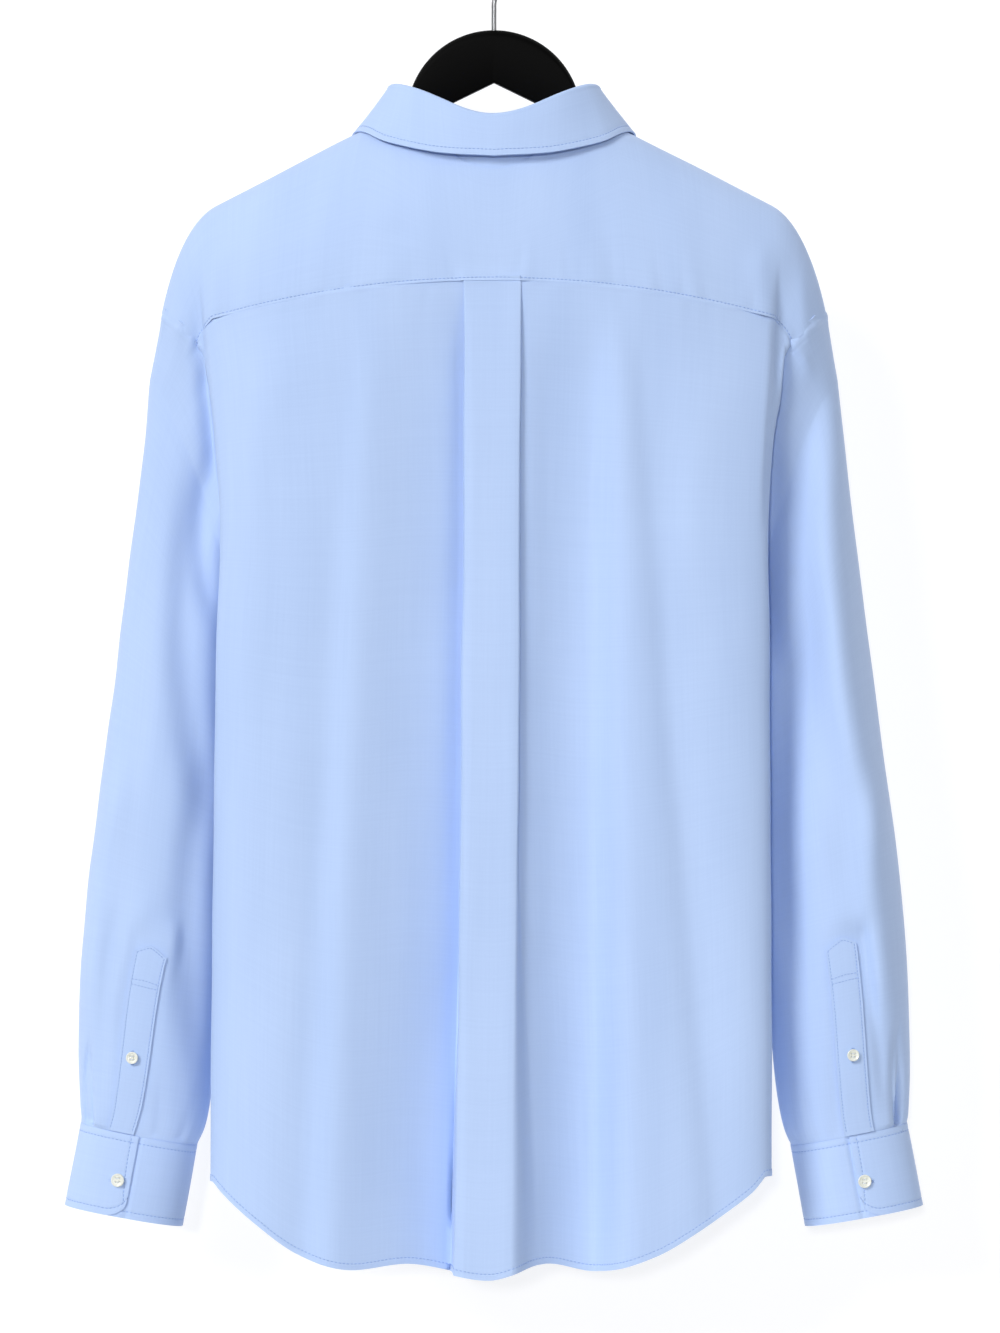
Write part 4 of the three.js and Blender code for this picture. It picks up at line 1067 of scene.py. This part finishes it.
def grid_faces(rows, columns, closed):
    """A quad between each four neighbours, out of the garment."""
    i = np.arange(rows - 1)[:, None]
    j = np.arange(columns if closed else columns - 1)[None]
    k = (j + 1) % columns
    quads = [i * columns + j, (i + 1) * columns + j, (i + 1) * columns + k, i * columns + k]
    return np.stack(np.broadcast_arrays(*quads), -1).reshape(-1, 4)


def end_faces(rows, columns):
    """One face over the first ring and one over the last."""
    last = range((rows - 1) * columns, rows * columns)
    return list(range(columns))[::-1], list(last)


def lay_uv(mesh, grid, closed):
    """A UV map in metres: the mean run across and down the cloth."""
    ring = join(grid, grid[:, :1], axis=1) if closed else grid
    across = np.linalg.norm(np.diff(ring, axis=1), axis=-1).mean(0).cumsum()
    down = np.linalg.norm(np.diff(grid, axis=0), axis=-1).mean(1).cumsum()
    across, down = (join([0], a) * MM for a in (across, down))
    u0, u1 = across[:-1][None], across[1:][None]
    v0, v1 = down[:-1][:, None], down[1:][:, None]
    corners = [(u0, v0), (u0, v1), (u1, v1), (u1, v0)]
    uv = np.stack([np.stack(np.broadcast_arrays(u, v), -1) for u, v in corners], 2)
    layer = mesh.uv_layers.new(name="cloth")
    layer.data.foreach_set("uv", uv.reshape(-1).astype(np.float32))


def lay_uv_of_wire(mesh):
    """The wire's map: round it across and along it down, both in metres."""
    of_loop = np.zeros(len(mesh.loops), np.int32)
    mesh.loops.foreach_get("vertex_index", of_loop)
    row, column = np.divmod(of_loop, WIRE_SIDES)
    layer = mesh.uv_layers.new(name="cloth")
    uv = np.stack([column * 0.00056, row * 0.0011], -1)
    layer.data.foreach_set("uv", uv.reshape(-1).astype(np.float32))


def sharpen_rim(mesh):
    """Marks the open edges sharp, so that a wall's rim keeps its corners."""
    edge_of = np.zeros(len(mesh.loops), np.int32)
    mesh.loops.foreach_get("edge_index", edge_of)
    used = np.bincount(edge_of, minlength=len(mesh.edges))
    mesh.attributes.new("sharp_edge", "BOOLEAN", "EDGE").data.foreach_set("value", used == 1)


def cloth_piece(name, node, grid, material, wall=WALL, closed=False):
    """A grid as a thin wall of cloth that stands for its solid."""
    faces = grid_faces(*grid.shape[:2], closed).tolist()
    piece = place_mesh(name, grid, faces, material)
    lay_uv(piece.data, grid, closed)
    sharpen_rim(piece.data)
    solid = piece.modifiers.new("wall", "SOLIDIFY")
    solid.thickness = wall * MM
    solid.offset = 0
    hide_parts(node)
    return piece


def stitches(name, lines, material, pitch=2.9, length=2.2, radius=0.3, wall=WALL):
    """Rows of sewn stitches: each a spindle of two tips and two rings of four points, along the
    line and partly sunk in the outer face of a cloth wall whose middle the line follows. The
    real thread is 0.25 mm thick, drawn 0.6 mm to show."""
    points, faces, used = [], [], 0
    for line, normal in lines:
        run = run_down(line)
        middle = np.arange(pitch, run[-1] - pitch, pitch)
        if not len(middle):
            continue

        def at(a, s):
            return np.stack([np.interp(s, run, a[:, k]) for k in range(3)], -1)

        start, end = at(line, middle - length / 2), at(line, middle + length / 2)
        up = at(normal, middle)
        side = unit(np.cross(end - start, up)) * radius
        up = unit(up)
        face, up = wall / 2 * up, radius * up
        start, end = start + face, end + face
        rings = []
        for share in (0.25, 0.75):
            centre = at(line, middle + (share - 0.5) * length) + face + 0.4 * up
            rings += [centre + side, centre + 0.8 * up, centre - side, centre - 0.8 * up]
        block = np.stack([start, *rings, end], 1)
        base = used + np.arange(len(middle))[:, None] * 10
        for k in range(4):
            m = (k + 1) % 4
            faces += (base + np.array([0, 1 + m, 1 + k])).tolist()
            faces += (base + np.array([1 + k, 1 + m, 5 + m, 5 + k])).tolist()
            faces += (base + np.array([9, 5 + k, 5 + m])).tolist()
        used += 10 * len(middle)
        points.append(block.reshape(-1, 3))
    return place_mesh(name, join(*points), faces, material)


# Buttons, hanger and hook


def button(name, node, diameter, foot, normal, materials, hole, hole_from, hole_to):
    """A turned button: one profile swept round its axis, with a raised rim, a sunken middle and
    four holes pressed in as deep round dimples, tied down by two bars of thread. Under it lies
    its buttonhole, two close rows of stitches, upright or level."""
    r, t = diameter / 2, 2.4 * diameter / 11
    profile_r = [0, 0.5, 0.85, 0.97, 1, 0.99, 0.95, 0.9, 0.84, 0.78, 0.72, 0.66, 0.6]
    profile_h = [0, 0, 0, 0.25, 0.5, 0.78, 0.95, 1, 0.97, 0.88, 0.79, 0.73, 0.71]
    inner = np.linspace(0.56, 0.01, 16)
    radius = join(profile_r, inner)[:, None] * r
    height = join(profile_h, 0.7 + 0 * inner)[:, None] * t
    a = np.linspace(0, 2 * PI, 44, endpoint=False)[None]
    x, y = radius * np.cos(a), radius * np.sin(a)
    far, dimple = 0.27 * r, 0.135 * r
    top = np.arange(len(radius))[:, None] > 8
    for sx in (-1, 1):
        for sy in (-1, 1):
            d = np.hypot(x - sx * far, y - sy * far)
            height = height - top * 0.62 * t * smooth((dimple * 1.35 - d) / (dimple * 0.7))
    axis = unit(np.asarray(normal))
    side = unit(np.cross([0, 0, 1.0], axis))
    up = np.cross(axis, side)

    def to_place(px, py, pz):
        return foot + px[..., None] * side + py[..., None] * up + pz[..., None] * axis

    grid = to_place(x, y, height * np.ones_like(x))
    faces = grid_faces(*x.shape, True)[:, ::-1].tolist()
    base, crown = end_faces(*x.shape)
    body = place_mesh(name, grid, faces + [crown, base], materials["resin"])
    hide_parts(node)
    s = np.linspace(-3.01, 3.01, 9)
    bars = [to_place(s, sy * far + 0 * s, 0.72 * t + 0 * s) for sy in (-1, 1)]
    bars = [(bar, np.broadcast_to(axis, bar.shape)) for bar in bars]
    thread = materials["button thread"]
    stitches(name + " thread", bars, thread, pitch=3, length=2.9 * far, radius=0.32, wall=0)
    way, beside = (up, side) if hole == "upright" else (side, up)
    s = np.linspace(hole_from, hole_to, 9)[:, None]
    rows = [foot - 0.3 * axis + s * way + k * beside for k in (-0.6, 0.6)]
    rows = [(row, np.broadcast_to(axis, row.shape)) for row in rows]
    thread = materials["thread"]
    stitches(name + " hole", rows, thread, pitch=0.9, length=0.85, radius=0.45, wall=0)


def outward(points, faces):
    """Faces turned over if they enclose a negative volume."""
    p = np.asarray(points).reshape(-1, 3)
    quads = np.array([f for f in faces if len(f) == 4])
    a, b, c, d = (p[quads[:, k]] for k in range(4))
    volume = (a * np.cross(b, c)).sum() + (a * np.cross(c, d)).sum()
    return faces if volume > 0 else [f[::-1] for f in faces]


def swept(name, node, rings, material):
    """Rings of points along a path, closed at both ends."""
    rows, columns = rings.shape[:2]
    faces = grid_faces(rows, columns, True).tolist() + [*end_faces(rows, columns)]
    piece = place_mesh(name, rings, outward(rings, faces), material)
    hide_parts(node)
    return piece


def hanger_rings():
    """Sections along x: a domed top over a flat foot. The arm follows the shoulders, the head
    is a round dome over a notch."""
    steep = np.linspace(math.asin(NOTCH_X / HEAD_RADIUS), PI / 2, 12)[1:-1]
    arm_nodes = [HEAD_RADIUS + 0.05, 80, 100, 130, 160, 190, 197, HANGER_END]
    half = join(np.linspace(0, NOTCH_X, 40), HEAD_RADIUS * np.sin(steep), fine(arm_nodes, 5))
    x = join(-half[:0:-1], half)[:, None]
    dome = HEAD_Z - HEAD_RADIUS + np.sqrt(np.maximum(HEAD_RADIUS**2 - x * x, 0))
    head = np.where(abs(x) < HEAD_RADIUS - 0.05, dome, -1e9)
    top = np.maximum(ridge_height(x) - HANGER_DROP, head)
    foot = HANGER_FOOT_Z - HANGER_FOOT_SLOPE * abs(x)
    y = lerp(HANGER_THIN, HANGER_THICK, smooth(abs(x) / HANGER_END))
    end = np.sqrt(np.clip((HANGER_END + 0.5 - abs(x)) / 4, 0.05, 1))
    crown = np.minimum(7, 0.55 * (top - foot))
    a = np.linspace(0, PI, 19)
    low = np.array([-0.86, -0.8, -0.7, 0.7, 0.8, 0.86])
    rise = np.array([1.2, 0.35, 0, 0, 0.35, 1.2])
    ys = join(y * np.cos(a), y * low, axis=1) * end
    zs = join(top - crown + crown * np.sin(a), foot + rise, axis=1)
    middle = (top + foot) / 2
    return xyz(x, ys, middle + (zs - middle) * end)


def hook_rings():
    """A round wire along its route: up the shank, out and over the rail, its end domed."""
    turn = np.radians(np.linspace(-48, 205, 60))
    x = join(HOOK_X, HOOK_RADIUS * np.cos(turn))
    z = join(HOOK_Z, WIRE - HOOK_RADIUS + HOOK_RADIUS * np.sin(turn))
    run = run_down(np.stack([x, z], -1))
    s = join(np.linspace(0, run[-1], 170), run[-1] + WIRE * np.sin(np.linspace(0.2, 1.5, 6)))
    s_on = np.minimum(s, run[-1])
    x, z = curve(run, x, s_on), curve(run, z, s_on)
    way_x, way_z = np.gradient(x), np.gradient(z)
    past = s > run[-1]
    way_x[past], way_z[past] = way_x[-8], way_z[-8]
    way_x, way_z = unit(np.stack([way_x, way_z], -1)).T
    over = s - s_on
    x, z = (x + over * way_x)[:, None], (z + over * way_z)[:, None]
    r = WIRE * np.sqrt(np.maximum(1 - (over / WIRE) ** 2, 0.001))[:, None]
    a = np.linspace(0, 2 * PI, WIRE_SIDES, endpoint=False)[None]
    out = r * np.cos(a)
    return xyz(x - way_z[:, None] * out, r * np.sin(a), z + way_x[:, None] * out)


# The shirt, piece by piece


def build_yoke(cloth, thread):
    """The foot is raised over its seam and bulges over the pleat."""
    grid = sunk(yoke_grid())
    d = from_edge(grid, "foot")
    relief = 0.15 * (1 - smooth((d - 3) / 5)) + groove(grid, "foot", YOKE_STITCH)
    relief = relief + puckers(grid, "foot", 11, 40, 0.9, 20, 4.5) * smooth(d / 3)
    over_pleat = smooth((27 - abs(grid[..., 0] + 1)) / 8) * (1 - smooth(d / 14))
    relief = relief + 1.3 * over_pleat * (grid[..., 1] < 0)
    relief = relief + creases(grid, YOKE_CREASES) + rumple(grid, 3, 0.25, 70)
    grid = raised(grid, relief)
    piece = cloth_piece("yoke", "yoke", grid, cloth)
    row = stitches("yoke stitching", [line_at(grid, "foot", YOKE_STITCH)], thread)


def build_back(cloth, thread):
    """The top edge is raised over the seam's layers, puckered and tucked under the yoke."""
    grid = sunk(back_grid())
    d = from_edge(grid, "top")
    relief = hem_relief(grid) + 0.25 * (1 - smooth(d / 8))
    relief = relief + puckers(grid, "top", 5, 44, 0.6, 26, 5) * smooth(d / 3)
    relief = relief + creases(grid, BACK_CREASES) + rumple(grid, 8, 0.35, 90)
    grid = raised(grid, relief)
    piece = cloth_piece("back", "back_panel", tucked(grid, "top", 4, 1.1), cloth)
    row = stitches("back hem stitching", [line_at(grid, "foot", HEM_STITCH)], thread)


def build_front(side, cloth, thread):
    """A hem at the foot, and soft creases down its length."""
    grid = front_grid(side)
    word = WORDS[side]
    relief = hem_relief(grid) + rumple(grid, 20 + side, 0.35, 90)
    relief = relief + creases(grid, mirrored(FRONT_CREASES, side), 1)
    grid = raised(grid, relief)
    piece = cloth_piece(f"front {word}", f"front_{word}", tucked(grid, "top", 3, 1), cloth)
    row = stitches(f"front {word} hem stitching", [line_at(grid, "foot", HEM_STITCH)], thread)


def build_placket(cloth, thread):
    """Stitched down both sides."""
    grid = placket_grid()
    edges = ("left", "right")
    grid = raised(grid, sum(groove(grid, edge, PLACKET_STITCH) for edge in edges))
    piece = cloth_piece("front placket", "front_placket", grid, cloth, wall=PLACKET_WALL)
    lines = [line_at(grid, edge, PLACKET_STITCH) for edge in edges]
    rows = stitches("placket stitching", lines, thread, wall=PLACKET_WALL)


def build_sleeve(side, cloth):
    """The sleeve's creases end before the armhole and leave the placket's bed flat."""
    word = WORDS[side]
    grid = sunk(sleeve_grid(side))
    d = from_edge(grid, "top")
    relief = 0.45 * (1 - smooth((d - 3) / 6)) + groove(grid, "top", 4)
    relief = relief + puckers(grid, "top", 40 + side, 44, 1.5, 16, 4)
    relief = relief + puckers(grid, "foot", 50 + side, 22, 1.0, 26, 3.5)
    relief = relief + creases(grid, mirrored(SLEEVE_FRONT_CREASES, side), 1, True)
    relief = relief + rumple(grid, 60 + side, 0.4, 60)
    strip = gauntlet_grid(side)
    axis = np.interp(-grid[..., 2], -strip[:, 9, 2], strip[:, 9, 0])
    bed = smooth((22 - abs(grid[..., 0] - axis)) / 10)
    bed = bed * smooth((strip[0, 0, 2] + 24 - grid[..., 2]) / 14)
    bed = bed * smooth(-3 * normals(grid, True)[..., 1])
    long_creases = creases(grid, SLEEVE_CREASES[side], -1, True) * smooth(d / 18)
    grid[..., 1] -= long_creases * (1 - bed)
    relief = relief * (1 - bed) * smooth(from_edge(grid, "foot") / 5)
    grid = raised(grid, relief, True)
    grid = tucked(tucked(grid, "top", 6, 1.6, True), "foot", 5, 1.6, True)
    piece = cloth_piece(f"sleeve {word}", f"sleeve_{word}", grid, cloth, closed=True)


def build_cuff(side, cloth, thread):
    """Stitched round, the end that lies on top as well."""
    word = WORDS[side]
    grid = cuff_grid(side)
    edges = ("top", "foot", WORDS[-side])
    relief = sum(groove(grid, edge, CUFF_STITCH, 0.35) for edge in edges)
    grid = raised(grid, relief + rumple(grid, 70 + side, 0.12, 40))
    piece = cloth_piece(f"cuff {word}", f"cuff_{word}", grid, cloth, wall=CUFF_WALL)
    lines = [line_at(grid, edge, CUFF_STITCH) for edge in edges]
    rows = stitches(f"cuff {word} stitching", lines, thread, wall=CUFF_WALL)


def build_gauntlet(side, cloth, thread):
    """Stitched round, with two rows across above the slit's end."""
    word = WORDS[side]
    grid = gauntlet_grid(side)
    grid = raised(grid, groove(grid, "left", 1.6, 0.2) + groove(grid, "right", 1.6, 0.2))
    name = f"sleeve placket {word}"
    piece = cloth_piece(name, f"gauntlet_{word}", grid, cloth, wall=GAUNTLET_WALL)
    n = normals(grid)
    lines = [line_at(grid, edge, GAUNTLET_STITCH) for edge in ("left", "right", "top")]
    for down in GAUNTLET_BARS:
        row = np.linalg.norm(grid[:, 0] - grid[0, 0], axis=-1).searchsorted(down)
        lines.append((grid[row], n[row]))
    name = name + " stitching"
    rows = stitches(name, lines, thread, pitch=2.4, length=1.9, radius=0.27, wall=GAUNTLET_WALL)


def build_collar(cloth, thread):
    """The leaf is stitched along its edge, from below the fold at both ends."""
    stand = tucked(stand_grid(), "foot", 2.2, -0.8)
    stand = cloth_piece("collar stand", "collar_stand", stand, cloth, wall=STAND_WALL)
    grid = leaf_grid()
    relief = sum(groove(grid, edge, LEAF_STITCH, 0.35) for edge in ("foot", "left", "right"))
    grid = raised(grid, relief + rumple(grid, 90, 0.2, 50))
    leaf = cloth_piece("collar leaf", "collar_leaf", grid, cloth, wall=LEAF_WALL)
    lines = [line_at(grid, "foot", LEAF_STITCH)]
    below_fold = 12
    for edge in ("left", "right"):
        line, normal = line_at(grid, edge, LEAF_STITCH)
        lines.append((line[below_fold:], normal[below_fold:]))
    rows = stitches("collar stitching", lines, thread, wall=LEAF_WALL)


def build_buttons(materials):
    """One button on each cuff and sleeve placket, one on the stand, six down the front."""

    def front_button(number, foot, down, lift, hole):
        normal = unit(np.cross(down, [-1, 0, 0]))
        name = f"front button {number}"
        place = foot + normal * lift
        button(name, f"front_button_{number}", FRONT_BUTTON, place, normal, materials, hole, -7, 7)

    for side, turn in ((-1, -0.14), (1, -0.06)):
        word = WORDS[side]
        angle = PI / 2 + turn
        foot = cuff_surface(angle, 0.56, side, CUFF_WALL / 2 + 0.3)
        normal = cuff_surface(angle, 0.56, side, CUFF_WALL / 2 + 1.3) - foot
        ends = (-7.5, 4.5) if side < 0 else (-4.5, 7.5)
        name = f"cuff button {word}"
        button(name, f"cuff_button_{word}", CUFF_BUTTON, foot, normal, materials, "level", *ends)
        place, angle, _ = gauntlet_centre(BUTTON_SHARE, side)
        foot = sleeve_surface(place, angle, side, 2 * GAUNTLET_OUT)
        normal = sleeve_surface(place, angle, side, 2 * GAUNTLET_OUT + 1) - foot
        name, node = f"sleeve placket button {word}", f"gauntlet_button_{word}"
        button(name, node, GAUNTLET_BUTTON, foot, normal, materials, "upright", -6, 6)
    ends = np.array(-PI)
    down = stand_surface(ends, 0.0) - stand_surface(ends, 1.0)
    front_button(1, stand_surface(ends, 0.5) * [0, 1, 1], down, STAND_WALL / 2 + GAP, "level")
    v = np.linspace(0, 1, 2001)
    w, turn = neck(PI)
    line = front_surface(w, turn, 0 * v, v)
    for number, z in enumerate(FRONT_BUTTONS[1:], 2):
        k = int(np.argmin(abs(line[:, 2] - z)))
        front_button(number, line[k], line[k + 15] - line[k - 15], LAYER + 0.6 + GAP, "upright")


# Studio


def light(name, strength, angle, towards):
    """A far lamp whose soft light comes from the way given; the angle is how wide it looks."""
    lamp = bpy.data.lights.new(name, "SUN")
    lamp.energy, lamp.angle = strength, math.radians(angle)
    holder = bpy.data.objects.new(name, lamp)
    bpy.context.scene.collection.objects.link(holder)
    x, y, z = towards
    holder.rotation_euler = (math.acos(z / math.hypot(x, y, z)), 0, math.atan2(y, x) + PI / 2)


def backdrop_board():
    """White board that glows a little, and is clear from behind."""
    looks = {"Base Color": linear("#999999"), "Roughness": 0.9}
    material, shader = new_material("painted board, matt white", looks)
    shader.inputs["Emission Color"].default_value = linear("#ffffff")
    shader.inputs["Emission Strength"].default_value = BACKDROP_GLOW
    back = add_node(material, "ShaderNodeNewGeometry")
    clear = add_node(material, "ShaderNodeBsdfTransparent")
    links = {0: back.outputs["Backfacing"], 1: shader.outputs[0], 2: clear.outputs[0]}
    mix = add_node(material, "ShaderNodeMixShader", {}, links)
    output = material.node_tree.nodes["Material Output"]
    material.node_tree.links.new(mix.outputs[0], output.inputs["Surface"])
    return material


def studio():
    """A pale floor that curves up into a backdrop close behind the shirt. The backdrop is seen
    from its front only, so that the shirt shows from every side."""
    floor = np.linspace(FLOOR_FRONT, FLOOR_BACK, 4)
    turn = np.linspace(0, PI / 2, 12)[1:]
    y = join(floor, FLOOR_BACK + FLOOR_BEND * np.sin(turn), [FLOOR_BACK + FLOOR_BEND])
    z = join(0 * floor + FLOOR_Z, FLOOR_Z + FLOOR_BEND * (1 - np.cos(turn)), [BACKDROP_TOP])
    x = np.linspace(-STUDIO_HALF, STUDIO_HALF, 3)
    grid = xyz(x[None], y[:, None], z[:, None])
    mesh = bpy.data.meshes.new("studio sweep")
    faces = grid_faces(len(y), len(x), False)[:, ::-1]
    mesh.from_pydata(grid.reshape(-1, 3).tolist(), [], faces.tolist())
    mesh.materials.append(backdrop_board())
    sweep = bpy.data.objects.new("studio sweep", mesh)
    bpy.context.scene.collection.objects.link(sweep)
    light("key", KEY_LIGHT, 22, (-0.75, -1, 0.6))
    light("front", FRONT_LIGHT, 3, (-0.07, -1, 0.12))
    light("fill", FILL_LIGHT, 40, (1.2, -1, 0.1))
    world = bpy.data.worlds.new("pale room")
    bpy.context.scene.world = world
    world.use_nodes = True
    room = world.node_tree.nodes["Background"]
    room.inputs["Color"].default_value = (1, 1, 1, 1)
    room.inputs["Strength"].default_value = ROOM_LIGHT
    bpy.context.scene.view_settings.view_transform = "Standard"


def camera():
    """The photograph's view: straight at the back, 960 mm high at the shirt."""
    lens = bpy.data.cameras.new("camera")
    lens.sensor_width = SENSOR
    lens.lens = SENSOR * CAMERA_FAR / VIEW_HEIGHT
    holder = bpy.data.objects.new("camera", lens)
    bpy.context.scene.collection.objects.link(holder)
    holder.location = (VIEW_X, -CAMERA_FAR, VIEW_Z)
    holder.rotation_euler = (PI / 2, 0, 0)
    bpy.context.scene.camera = holder


def main():
    """Dresses the solids piece by piece, then sets up the studio and the camera."""
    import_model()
    cloth, thread = cotton_poplin(), sewing_thread()
    materials = {"resin": button_resin(), "button thread": button_thread(), "thread": thread}
    build_yoke(cloth, thread)
    build_back(cloth, thread)
    for side in (-1, 1):
        build_front(side, cloth, thread)
        build_sleeve(side, cloth)
        build_cuff(side, cloth, thread)
        build_gauntlet(side, cloth, thread)
    build_placket(cloth, thread)
    build_collar(cloth, thread)
    build_buttons(materials)
    swept("hanger", "hanger", hanger_rings(), hanger_plastic())
    wire = swept("hook", "hook", hook_rings(), hook_wire())
    lay_uv_of_wire(wire.data)
    studio()
    camera()


main()
